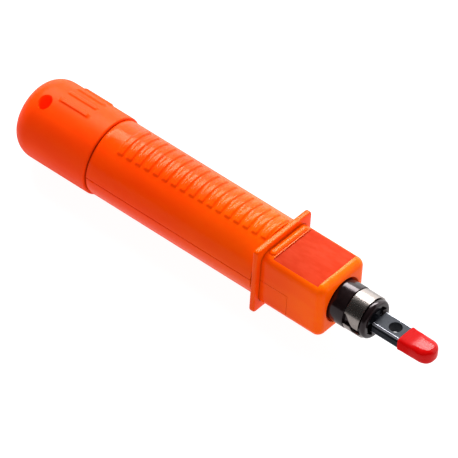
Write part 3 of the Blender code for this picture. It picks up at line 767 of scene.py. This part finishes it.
def shell_stations():
    """(x, outer radius) stations of the neck and the ribbed body, fine along the ribs."""
    groove, groove_width = O_RING.x0 - 0.35, 1.7
    floor = NECK_RADIUS - 1.0
    stations = [
        (NECK_REAR, NECK_RADIUS - 0.6), (NECK_REAR + 0.2, NECK_RADIUS - 0.2),
        (NECK_REAR + 0.6, NECK_RADIUS), (groove, NECK_RADIUS), (groove + 0.02, floor),
        (groove + groove_width - 0.02, floor), (groove + groove_width, NECK_RADIUS),
        (BODY_REAR, NECK_RADIUS), (BODY_REAR + 0.01, BODY_RADIUS - 0.5),
        (BODY_REAR + 0.15, BODY_RADIUS - 0.15), (BODY_REAR + 0.5, BODY_RADIUS),
    ]
    first = GRIP_FIRST_X - GRIP_WIDTH
    last = BODY_FRONT - 0.3
    steps = round((last - first) / (GRIP_PITCH / 13))
    stations += [(x, BODY_RADIUS) for x in spread(BODY_REAR + 2.0, first - 0.5, 3)]
    stations += [(x, BODY_RADIUS) for x in spread(first, last, steps)]
    stations += [(BODY_FRONT - 0.1, BODY_RADIUS - 0.1), (BODY_FRONT, BODY_RADIUS - 0.3)]
    return stations


def bore_stations():
    """(x, radius) of the body's inside: store, plug groove, spring chamber and its ribs."""
    groove = (PLUG.x0 - GAP, PLUG.x1 + GAP)
    plug_radius = PLUG.y1 + GAP
    steps = [
        (groove[0], STORE_RADIUS, plug_radius), (groove[1], plug_radius, STORE_RADIUS),
        (SEAT.x0 - GAP, STORE_RADIUS, CHAMBER_RADIUS),
    ]
    for rib in CHAMBER_RIBS:
        steps += [
            (rib, CHAMBER_RADIUS, CHAMBER_RIB_RADIUS),
            (rib + CHAMBER_RIB_WIDTH, CHAMBER_RIB_RADIUS, CHAMBER_RADIUS),
        ]
    steps += [(NOSE_CHAMBER_REAR, CHAMBER_RADIUS, NOSE_CHAMBER_RADIUS)]
    stations = [(NECK_REAR, STORE_RADIUS)]
    for x, before, after in steps:
        stations += [(x - 0.01, before), (x + 0.01, after)]
    return stations + [(BODY_FRONT, NOSE_CHAMBER_RADIUS)]


def shell_angles():
    """Angles across one shell from its crown, fine under the ribs and close at the seam."""
    edge = math.degrees(SEAM / 2 / BODY_RADIUS)
    ribbed = 38.0
    side = [ribbed + 3.0 * i for i in range(1, 17)] + [88.2, 89.2, 90.0 - edge]
    middle = spread(-ribbed, ribbed, 76)
    return [-a for a in reversed(side)] + middle + side


def seam_round(angle):
    """Drop of the outer skin beside the seam, where the moulded edge is rounded."""
    distance = math.radians(90.0 - abs(angle)) * BODY_RADIUS - SEAM / 2
    radius = 0.22
    if distance >= radius:
        return 0.0
    return radius - math.sqrt(max(radius ** 2 - (radius - distance) ** 2, 0.0))


def shell_body(crown):
    """Closed half tube: a relief grid outside, a plain grid inside, flat faces between."""
    bm = bmesh.new()
    angles = shell_angles()
    outer = []
    for x, radius in shell_stations():
        row = []
        for angle in angles:
            lift = grip_relief(x, angle) if x > BODY_REAR + 2.0 else 0.0
            row.append(bm.verts.new(on_round(x, radius + lift - seam_round(angle), crown + angle)))
        outer.append(row)
    inner_angles = spread(angles[0], angles[-1], 48)
    inner = [
        [bm.verts.new(on_round(x, radius, crown + angle)) for angle in inner_angles]
        for x, radius in bore_stations()
    ]
    for grid in (outer, inner):
        skin(bm, grid, wrap=False)
    for end in (0, -1):
        bm.faces.new(outer[end] + inner[end][::-1])
        bm.faces.new([row[end] for row in outer] + [row[end] for row in reversed(inner)])
    return bm


def nose_outline(inset=0.0):
    return rounded_rectangle(
        NOSE_HALF_WIDTH - inset, NOSE_HALF_HEIGHT - inset, max(NOSE_CORNER - inset, 0.4)
    )


def nose_solid():
    """Whole nose of both shells before the seam is cut: block, bead, panel and bore."""
    flat_end, rounding = NOSE_FRONT - NOSE_FRONT_ROUND, NOSE_FRONT_ROUND
    sections = [(x, nose_outline()) for x in spread(BODY_FRONT + 0.05, flat_end, 4)]
    for x, inset in arc_points(flat_end, rounding, rounding, -82, 0, 10):
        sections.append((x, nose_outline(inset)))
    mesh = boolean(to_mesh("nose", lofted(sections)), "UNION", snap_bead(1), snap_bead(-1))
    far = NOSE_HALF_WIDTH + 2.0
    panel = block((PANEL_REAR, PANEL_FRONT), (-far, far), (PANEL_Z, PANEL_Z + 3.0))
    return boolean(mesh, "DIFFERENCE", panel, nose_bore())


def snap_bead(side):
    """Low oval bead across the nose with rounded ends; side is +1 on top and -1 below."""
    root = 0.4
    sections = []
    for end, angles in ((-1, spread(-82, 0, 8)), (1, spread(0, 82, 8))):
        for degrees in angles:
            turn = math.radians(degrees)
            y = end * (BEAD_HALF_LENGTH - BEAD_HALF_WIDTH) + BEAD_HALF_WIDTH * math.sin(turn)
            size = math.cos(turn)
            oval = [
                (BEAD_X + size * BEAD_HALF_WIDTH * a, side * (NOSE_HALF_HEIGHT - root) + size * b)
                for a, b in super_outline(1.0, BEAD_RISE + root, 2.4, 32)
            ]
            sections.append((y, oval))
    bead = lofted(sections)
    for vert in bead.verts:
        vert.co = vert.co.yxz
    return bead


def nose_bore():
    """Cutter of the nose's inside; its mouth is rounded over."""
    flare = 0.35
    profile = [
        (BODY_FRONT - 1.0, 0.0), (BODY_FRONT - 1.0, NOSE_CHAMBER_RADIUS),
        (NOSE_CHAMBER_FRONT, NOSE_CHAMBER_RADIUS), (NOSE_CHAMBER_FRONT, NOSE_BORE),
    ]
    profile += arc_points(NOSE_FRONT - flare, NOSE_BORE + flare, flare, -90, -10, 5)
    profile += [(NOSE_FRONT + 2.0, profile[-1][1] + 0.4), (NOSE_FRONT + 2.0, 0.0)]
    return revolve(profile, ROUND)


def build_shells(material):
    """Each shell is its ribbed half tube and its share of the nose, met under the guard."""
    for name, crown in (("upper", 0.0), ("lower", 180.0)):
        node = name + "_shell"
        tube = to_mesh(node, shell_body(crown))
        make_piece(name + "_grip_shell", tube, material, "handle", node)
    nose = nose_solid()
    low, far = -NOSE_HALF_HEIGHT - 3.0, 30.0
    rear = BODY_FRONT - 3.0
    upper_share = block((rear, SEAM_STEP_X + SEAM / 2), (-far, far), (low, SEAM / 2))
    upper = boolean(nose.copy(), "DIFFERENCE", upper_share)
    make_piece("upper_nose_shell", upper, material, "handle", "upper_shell", bevel=0.08)
    step = SEAM_STEP_X - SEAM / 2
    outline = (
        (rear, -SEAM / 2), (step, -SEAM / 2), (step, low), (NOSE_FRONT + 5.0, low),
        (NOSE_FRONT + 5.0, far), (rear, far),
    )
    lower = boolean(nose, "DIFFERENCE", prism(outline, "Y", -far, far))
    make_piece("lower_nose_shell", lower, material, "handle", "lower_shell", bevel=0.08)


def build_guard(material):
    """Guard plate as a rounded section swept between its hole and its outer edge."""
    corner = 1.1
    steps = 10
    outer = rounded_rectangle(GUARD.y1, GUARD.z1, corner, steps)
    hole = rounded_rectangle(
        NOSE_HALF_WIDTH + GAP / 2, NOSE_HALF_HEIGHT + GAP / 2, NOSE_CORNER + GAP / 2, steps
    )
    fillet = 0.55
    section = []
    for centre_x, start in ((GUARD.x1 - fillet, 0), (GUARD.x0 + fillet, 90)):
        for degrees in spread(start, start + 90, 5):
            angle = math.radians(degrees)
            section.append((centre_x + fillet * math.cos(angle), fillet * (1 - math.sin(angle))))
    bm = bmesh.new()
    rings = []
    for (y1, z1), (y0, z0) in zip(outer, hole):
        outward = Vector((y1 - y0, z1 - z0))
        span = outward.length
        outward.normalize()
        ring = [bm.verts.new((x, y1 - outward.x * inset, z1 - outward.y * inset)) for x, inset in section]
        for x in (GUARD.x0, GUARD.x1):
            ring.append(bm.verts.new((x, y1 - outward.x * span, z1 - outward.y * span)))
        rings.append(ring)
    skin(bm, rings + rings[:1])
    mesh = to_mesh("guard", bm)
    make_piece("finger_guard", mesh, material, "handle", "guard_ring")


# Blade holder and tip.


def holder_outline():
    """Outline of the spindle: stem, collar, stop ring's groove, barrel, band's groove and lip."""
    stop = (STOP.x0 - GAP, STOP.x1 + GAP)
    band = (BAND.x0 - GAP, BAND.x1 + GAP)
    edge, lip_edge, lip_round = 0.25, 0.15, 1.1
    lip = 7.25
    profile = [
        (HOLDER.x0, 0.0), (HOLDER.x0, STEM_RADIUS - 0.4), (HOLDER.x0 + 0.4, STEM_RADIUS),
        (COLLAR_REAR, STEM_RADIUS), (COLLAR_REAR, COLLAR_RADIUS - 0.2),
        (COLLAR_REAR + 0.2, COLLAR_RADIUS), (stop[0], COLLAR_RADIUS),
        (stop[0], STOP_GROOVE_RADIUS), (stop[1], STOP_GROOVE_RADIUS),
        (stop[1], BARREL_RADIUS - edge),
    ]
    profile += arc_points(stop[1] + edge, BARREL_RADIUS - edge, edge, 150, 90, 3)
    profile += arc_points(band[0] - edge, BARREL_RADIUS - edge, edge, 90, 0, 4)
    profile += [(band[0], BAND_FLOOR), (band[1], BAND_FLOOR)]
    profile += arc_points(band[1] + lip_edge, lip - lip_edge, lip_edge, 180, 90, 3)
    profile += arc_points(HOLDER_FACE - lip_round, lip - lip_round, lip_round, 90, 0, 10)
    return profile + [(HOLDER_FACE, 0.0)]


def socket_outline():
    """Outline of the bore, the cavity in which the lugs turn, and the chamfered mouth."""
    cavity = (LUG_REAR - 0.4, LUG_FRONT + 0.4)
    mouth = SOCKET_RADIUS - 0.05
    chamfer, past = 0.8, 1.0
    return [
        (SOCKET_REAR, 0.0), (SOCKET_REAR, SOCKET_BORE), (cavity[0], SOCKET_BORE),
        (cavity[0], LUG_CAVITY_RADIUS), (cavity[1], LUG_CAVITY_RADIUS), (cavity[1], mouth),
        (HOLDER_FACE - chamfer, mouth), (HOLDER_FACE + past, SOCKET_RADIUS + past + chamfer),
        (HOLDER_FACE + past, 0.0),
    ]


def build_blade_holder(material):
    """Turned spindle with its lug socket and the hole in which the detent ball sits."""
    mouth = prism(socket_mouth(), "X", LUG_FRONT, HOLDER.x1 + 1.0)
    ball = Box("detent_ball")
    ball_radius = (ball.x1 - ball.x0) / 2
    ball_hole = prism(circle(ball_radius + 0.25, 48), "Z", 2.0, BAND_FLOOR + 1.0)
    ball_hole.transform(Matrix.Translation(((ball.x0 + ball.x1) / 2, 0.0, 0.0)))
    body = to_mesh("blade_holder", revolve(holder_outline(), 128))
    mesh = boolean(body, "DIFFERENCE", revolve(socket_outline(), 64), mouth, ball_hole)
    make_piece(
        "blade_holder_spindle", mesh, material, "spindle", "blade_holder",
        bevel=0.12,
    )


def socket_mouth():
    """Round hole with four arms at 45 degrees, through which the blade's lugs enter."""
    radius, reach, arm = SOCKET_RADIUS, SOCKET_ARM_REACH, SOCKET_ARM_HALF_WIDTH
    side = math.asin(arm / radius)
    outline = []
    for quarter in range(4):
        middle = math.radians(45 + 90 * quarter)
        turn = Matrix.Rotation(middle, 2)
        outline += [tuple(turn @ Vector((reach, -arm))), tuple(turn @ Vector((reach, arm)))]
        for share in spread(0.0, 1.0, 8):
            angle = middle + side + (math.pi / 2 - 2 * side) * share
            outline.append((radius * math.cos(angle), radius * math.sin(angle)))
    return outline


def build_locking_band(material):
    """Thin band whose split steps sideways halfway along, in an S.

    The split lies between the end's angle and the start's, which both step towards the front.
    """
    middle = (BAND.x0 + BAND.x1) / 2
    inner = BAND_OUTER - BAND_THICKNESS
    rear_start, start_step = 100.0, 19.0
    rear_end, end_step = 68.0, 28.0
    rows, columns = 48, 180
    bm = bmesh.new()
    grids = []
    for radius in (inner, BAND_OUTER):
        grid = []
        for row in range(rows + 1):
            x = BAND.x0 + (BAND.x1 - BAND.x0) * row / rows
            start = rear_start + start_step * smoothstep(middle - 0.55, middle + 0.55, x)
            end = 360.0 + rear_end + end_step * smoothstep(BAND.x0 + 0.2, middle + 1.4, x)
            grid.append([
                bm.verts.new(on_round(x, radius, start + (end - start) * k / columns))
                for k in range(columns + 1)
            ])
        grids.append(grid)
    for grid in grids:
        skin(bm, grid, wrap=False)
    for end in (0, -1):
        skin(bm, [grid[end] for grid in grids], wrap=False)
        skin(bm, [[row[end] for row in grid] for grid in grids], wrap=False)
    mesh = to_mesh("locking_band", bm)
    make_piece("split_steel_band", mesh, material, "spindle", "locking_band", bevel=0.1)


def build_blade(material):
    """Shank with a ball groove, lugs, and a flat blade with a cross hole and a slotted tip."""
    rear, front = SHANK_GROOVE
    shank, floor, neck = SHANK_RADIUS, SHANK_GROOVE_RADIUS, BLADE_NECK_RADIUS
    profile = [
        (BLADE.x0, 0.0), (BLADE.x0, shank - 0.5), (BLADE.x0 + 0.5, shank), (rear, shank),
        (rear + 0.3, floor), (front - 0.3, floor), (front, shank),
        (LUG_REAR + 0.5, shank), (LUG_REAR + 0.5, neck), (BLADE_REAR + 1.0, neck),
        (BLADE_REAR + 1.0, 0.0),
    ]
    lugs = revolve([(LUG_REAR, 0.0), (LUG_REAR, BLADE.y1), (LUG_FRONT, BLADE.y1), (LUG_FRONT, 0.0)], 64)
    for vert in lugs.verts:
        vert.co.z = max(-LUG_HALF_HEIGHT, min(LUG_HALF_HEIGHT, vert.co.z))
    mesh = boolean(to_mesh("blade", revolve(profile, 64)), "UNION", lugs, blade_flat())
    groove_depth, groove_height = 0.3, (0.5, 1.6)
    cutters = [blade_hole()]
    for side in (-1, 1):
        y = sorted((side * (BLADE_HALF_WIDTH - groove_depth), side * (BLADE_HALF_WIDTH + 1.0)))
        cutters.append(block((BLADE_REAR - 1.0, COVER.x0 + 1.0), y, groove_height))
    mesh = boolean(mesh, "DIFFERENCE", *cutters)
    make_piece("insert_blade", mesh, material, "blade", "blade", bevel=0.1)


def blade_flat():
    """Flat of the blade with chamfered long edges and the slot in its tip."""
    wide, tip, chamfer = BLADE_HALF_WIDTH, BLADE_TIP_HALF_WIDTH, BLADE_CHAMFER
    slot = BLADE_SLOT_HALF_WIDTH
    slot_end = BLADE.x1 - BLADE_SLOT_LENGTH
    layers = []
    for z, inset in ((-1, chamfer), (-1, 0.0), (1, 0.0), (1, chamfer)):
        half = [
            (BLADE_REAR + inset / 2, wide - inset), (COVER.x0 + 0.8, wide - inset),
            (BLADE_TIP_REAR, tip - inset), (BLADE.x1, tip - inset), (BLADE.x1, slot),
            (slot_end, slot),
        ]
        height = BLADE_HALF_HEIGHT - (chamfer - inset)
        layers.append((z * height, half + [(x, -y) for x, y in reversed(half)]))
    flat = lofted(layers)
    for vert in flat.verts:
        vert.co = vert.co.yzx
    return flat


def blade_hole():
    """Cutter of the cross hole, countersunk on both faces."""
    sink, out = 0.12, BLADE_HALF_HEIGHT + 1.0
    wide = BLADE_HOLE_RADIUS + sink + (out - BLADE_HALF_HEIGHT)
    half = [(BLADE_HALF_HEIGHT - sink, BLADE_HOLE_RADIUS), (out, wide)]
    profile = [(-out, 0.0)] + [(-x, r) for x, r in reversed(half)] + half + [(out, 0.0)]
    hole = revolve(profile, 64)
    hole.transform(Matrix.Rotation(math.radians(-90), 4, "Y"))
    hole.transform(Matrix.Translation((BLADE_HOLE_X, 0.0, 0.0)))
    return hole


def cover_sections():
    """Sections of the cover from inside its lip to its front, first square, then oval."""
    front_corner, edge_round = 4.3, 1.9
    tucked = (0.93, 0.95, 0.965, 0.985)
    stations = [COVER.x0 + x for x in (0.3, 0.08, 0.0, 0.06, 0.25, 0.5, 0.8, 1.2, 1.7, 2.4)]
    stations += spread(COVER.x0 + 3.2, COVER.x1 - front_corner, 8)
    for degrees in spread(4, 90, 22):
        stations.append(COVER.x1 - front_corner * (1 - math.sin(math.radians(degrees))))
    sections = []
    for k, x in enumerate(stations):
        mouth = tucked[k] if k < len(tucked) else 1.0
        lip = 0.03 * (1.0 - smoothstep(COVER.x0 + 0.4, COVER.x0 + 1.6, x))
        swell = 0.03 * smoothstep(COVER.x0 + 1.5, COVER.x0 + 8.0, x)
        rise = 0.125 * min((x - COVER.x0) / 9.5, 1.0)
        half_width = COVER.y1 * mouth * (0.965 + lip + swell)
        half_height = COVER.z1 * mouth * (0.87 + lip + rise)
        half_width -= quarter_round(x, COVER.x1, front_corner)
        half_height -= quarter_round(x, COVER.x1, edge_round)
        power = 5.4 - 2.0 * smoothstep(COVER.x0 + 0.5, COVER.x0 + 9.0, x)
        sections.append((x, super_outline(half_width, half_height, power, 120)))
    return sections


def build_tip_cover(material):
    """Soft dipped cover: close on the blade at its lipped mouth, swelling to a blunt round front."""
    slack = 0.12
    height = BLADE_HALF_HEIGHT + slack
    root = rounded_rectangle(BLADE_HALF_WIDTH + slack, height, 0.6, 6)
    tip = rounded_rectangle(BLADE_TIP_HALF_WIDTH + slack, height, 0.5, 6)
    mesh = boolean(
        to_mesh("tip_cover", lofted(cover_sections())), "DIFFERENCE",
        prism(root, "X", COVER.x0 - 2.0, BLADE_TIP_REAR + slack),
        prism(tip, "X", COVER.x0 - 1.0, BLADE.x1 + 0.3),
    )
    make_piece("dipped_tip_cover", mesh, material, "tip_cover", "tip_cover", sharp=50.0)


# Springs and the other inside pieces.


def coil(x0, x1, mean_radius, wire_radius, turns, turn_steps=48, wire_steps=14):
    """Round wire wound about X at an even pitch, so that it fills x0 to x1."""
    bm = bmesh.new()
    first = x0 + wire_radius
    length = x1 - x0 - 2 * wire_radius
    count = turns * turn_steps
    rings = []
    for i in range(count + 1):
        share = i / count
        angle = 360.0 * turns * share
        x = first + length * share
        ring = []
        for k in range(wire_steps):
            around = math.tau * k / wire_steps
            radius = mean_radius + wire_radius * math.cos(around)
            ring.append(bm.verts.new(on_round(x + wire_radius * math.sin(around), radius, angle)))
        rings.append(ring)
    skin(bm, rings)
    bm.faces.new(rings[0])
    bm.faces.new(rings[-1])
    return bm


def build_springs(material):
    """Both coil springs, each wound to fill the length of its CAD node."""
    for node, name, shape, joint in (
        ("main_spring", "main_coil_spring", MAIN_COIL, "hammer_slide"),
        ("return_spring", "return_coil_spring", RETURN_COIL, "push_in"),
    ):
        span = Box(node)
        mesh = to_mesh(node, coil(span.x0, span.x1, *shape))
        spring = make_piece(name, mesh, material, "handle", node)
        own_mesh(spring)


def build_latch_leaf(material):
    """Leaf spring on the hammer; its free end slopes down from a bend just ahead of the latch's rear."""
    rear_x = LATCH.x0 - LEAF_LENGTH
    bend_x = LATCH.x0 + 0.2
    seat_z = LEAF.z1 - LEAF_THICKNESS
    sections = []
    for x in spread(rear_x, LEAF.x1, 44):
        droop = (seat_z - LEAF.z0) * max(0.0, x - bend_x) / (LEAF.x1 - bend_x)
        half_width = LEAF.y1 - 0.5 * smoothstep(LEAF.x1 - 0.9, LEAF.x1, x)
        low, high = seat_z - droop, LEAF.z1 - droop
        corners = ((-half_width, low), (half_width, low), (half_width, high), (-half_width, high))
        sections.append((x, corners))
    mesh = to_mesh("latch_spring", lofted(sections))
    leaf = make_piece("latch_leaf_spring", mesh, material, None, "latch_spring")
    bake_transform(leaf)


def build_o_ring(material):
    """Round rubber ring in the neck's groove."""
    section = (O_RING.x1 - O_RING.x0) / 2
    centre = ((O_RING.x0 + O_RING.x1) / 2, O_RING.y1 - section)
    mesh = to_mesh("cap_o_ring", revolve(arc_points(*centre, section, 0, 345, 23), 96))
    make_piece("cap_friction_ring", mesh, material, "cap_ring", "cap_o_ring")


def finish_inside(materials):
    """CAD nodes whose shape stays get a real finish."""
    finishes = {
        "compartment_plug": "acetal", "main_spring_seat": "acetal", "guide_sleeve": "acetal",
        "cam_plate": "dark", "hammer": "dark", "latch": "dark",
        "return_spring_seat": "bright", "stop_ring": "bright", "detent_ball": "bright",
        "guide_bush": "brass",
    }
    for node, finish in finishes.items():
        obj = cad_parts[node]
        obj.data.materials.clear()
        obj.data.materials.append(materials[finish])


# Stage, light and camera; sizes here are metres.

MIDDLE = Vector((0.09, 0.0, 0.0))
FLOOR_HALF_SIZE = 6.0
FLOOR_CLEARANCE = 0.0001
FLOOR_DIFFUSE_LOSS = 0.45
FLOOR_GLOSSY_LOSS = 0.30

# Surroundings, along Y: where the fade starts and ends, and the strength before and after it.
ROOM_FOR_DIFFUSE = (0.15, 0.75, 0.28, 1.5)
ROOM_FOR_GLOSSY = (0.34, 0.62, 0.04, 2.0)

SOFTBOX_TOWARDS = Vector((-0.42, 0.46, 0.78)).normalized()
SOFTBOX_DISTANCE = 0.9
SOFTBOX_LENGTH = 0.9
SOFTBOX_WIDTH = 0.32
SOFTBOX_WATTS = 14.0

# Azimuth, elevation and roll in degrees, and the lens in millimetres.
CAMERA_TURN = (37.4, 43.58, 4.0)
CAMERA_DISTANCE = 2.04
CAMERA_LENS = 471.6
CAMERA_SHIFT = (-0.0105, 0.0065)


def build_floor():
    """Plain pale floor that glows, so it stays white like a light table; it lights the tool less."""
    low = CAD_BOUNDS[0][2]
    bm = bmesh.new()
    bmesh.ops.create_grid(bm, x_segments=1, y_segments=1, size=FLOOR_HALF_SIZE)
    bm.transform(Matrix.Translation((MIDDLE.x, 0.0, low - FLOOR_CLEARANCE)))
    mesh = bpy.data.meshes.new("floor")
    bm.to_mesh(mesh)
    bm.free()
    floor = bpy.data.objects.new("floor", mesh)
    bpy.context.scene.collection.objects.link(floor)
    shader = Shader("pale_floor")
    _, y, _ = shader.split(shader.position)
    glow = shader.span(y, -0.05, 0.6, 0.96, 1.4)
    rays = shader.tree.nodes.new("ShaderNodeLightPath").outputs
    diffuse_loss = shader.math("MULTIPLY", rays["Is Diffuse Ray"], FLOOR_DIFFUSE_LOSS)
    glossy_loss = shader.math("MULTIPLY", rays["Is Glossy Ray"], FLOOR_GLOSSY_LOSS)
    dimmed = shader.math("SUBTRACT", 1.0, shader.math("ADD", diffuse_loss, glossy_loss))
    shader.set(
        Base_Color=colour(0.10, 0.10, 0.10),
        Roughness=0.7,
        Emission_Color=colour(1.0, 1.0, 1.0),
        Emission_Strength=shader.math("MULTIPLY", glow, dimmed),
    )
    mesh.materials.append(shader.material)


def build_room():
    """White surroundings, bright on the far side (+Y) and dim on the near side."""
    world = bpy.data.worlds.new("studio")
    world.use_nodes = True
    tree = world.node_tree
    direction = tree.nodes.new("ShaderNodeTexCoord").outputs["Generated"]
    split = tree.nodes.new("ShaderNodeSeparateXYZ")
    tree.links.new(direction, split.inputs[0])
    choice = tree.nodes.new("ShaderNodeMix")
    tree.links.new(tree.nodes.new("ShaderNodeLightPath").outputs["Is Glossy Ray"], choice.inputs[0])
    for target, values in ((choice.inputs[2], ROOM_FOR_DIFFUSE), (choice.inputs[3], ROOM_FOR_GLOSSY)):
        fade = tree.nodes.new("ShaderNodeMapRange")
        fade.interpolation_type = "SMOOTHSTEP"
        tree.links.new(split.outputs["Y"], fade.inputs["Value"])
        for socket, value in zip(fade.inputs[1:5], values):
            socket.default_value = value
        tree.links.new(fade.outputs[0], target)
    background = tree.nodes["Background"]
    background.inputs["Color"].default_value = colour(1.0, 1.0, 1.0)
    tree.links.new(choice.outputs[0], background.inputs["Strength"])
    bpy.context.scene.world = world
    bpy.context.scene.view_settings.view_transform = "Standard"


def build_softbox():
    """One long softbox above the handle, on the far side and towards the cap."""
    strip = bpy.data.lights.new("strip_softbox", "AREA")
    strip.shape = "RECTANGLE"
    strip.size = SOFTBOX_LENGTH
    strip.size_y = SOFTBOX_WIDTH
    strip.energy = SOFTBOX_WATTS
    light = bpy.data.objects.new("strip_softbox", strip)
    light.location = MIDDLE + SOFTBOX_TOWARDS * SOFTBOX_DISTANCE
    light.rotation_euler = SOFTBOX_TOWARDS.to_track_quat("Z", "Y").to_euler()
    bpy.context.scene.collection.objects.link(light)


def build_camera():
    """Long lens above the near side (-Y), turned towards the tip's end, with a slight roll."""
    azimuth, elevation, roll = (math.radians(turn) for turn in CAMERA_TURN)
    back = Vector((
        math.sin(azimuth) * math.cos(elevation),
        -math.cos(azimuth) * math.cos(elevation),
        math.sin(elevation),
    ))
    level = Vector((math.cos(azimuth), math.sin(azimuth), 0.0))
    steep = back.cross(level)
    right = level * math.cos(roll) + steep * math.sin(roll)
    up = back.cross(right)
    data = bpy.data.cameras.new("camera")
    data.sensor_width = 36.0
    data.lens = CAMERA_LENS
    data.shift_x, data.shift_y = CAMERA_SHIFT
    data.clip_end = 20.0
    camera = bpy.data.objects.new("camera", data)
    axes = Matrix((right, up, back)).transposed().to_4x4()
    camera.matrix_world = Matrix.Translation(MIDDLE + back * CAMERA_DISTANCE) @ axes
    bpy.context.scene.collection.objects.link(camera)
    bpy.context.scene.camera = camera


def build_tool():
    """Every piece of the tool, each with its material."""
    orange = panelled_orange()
    cap_orange = moulded_orange(
        "cap_orange_abs", colour(0.82, 0.056, 0.001), colour(0.78, 0.047, 0.001), 0.34, 0.09
    ).material
    bright = bright_steel()
    dark = dark_steel()
    build_end_cap(cap_orange)
    build_shells(orange)
    build_guard(orange)
    build_blade_holder(blackened_steel())
    build_locking_band(bright)
    build_blade(dark)
    build_tip_cover(dipped_vinyl())
    build_springs(bright)
    build_latch_leaf(bright)
    build_o_ring(black_rubber())
    finish_inside({
        "acetal": natural_acetal(), "dark": dark, "bright": bright, "brass": turned_brass(),
    })


build_tool()
build_floor()
build_room()
build_softbox()
build_camera()
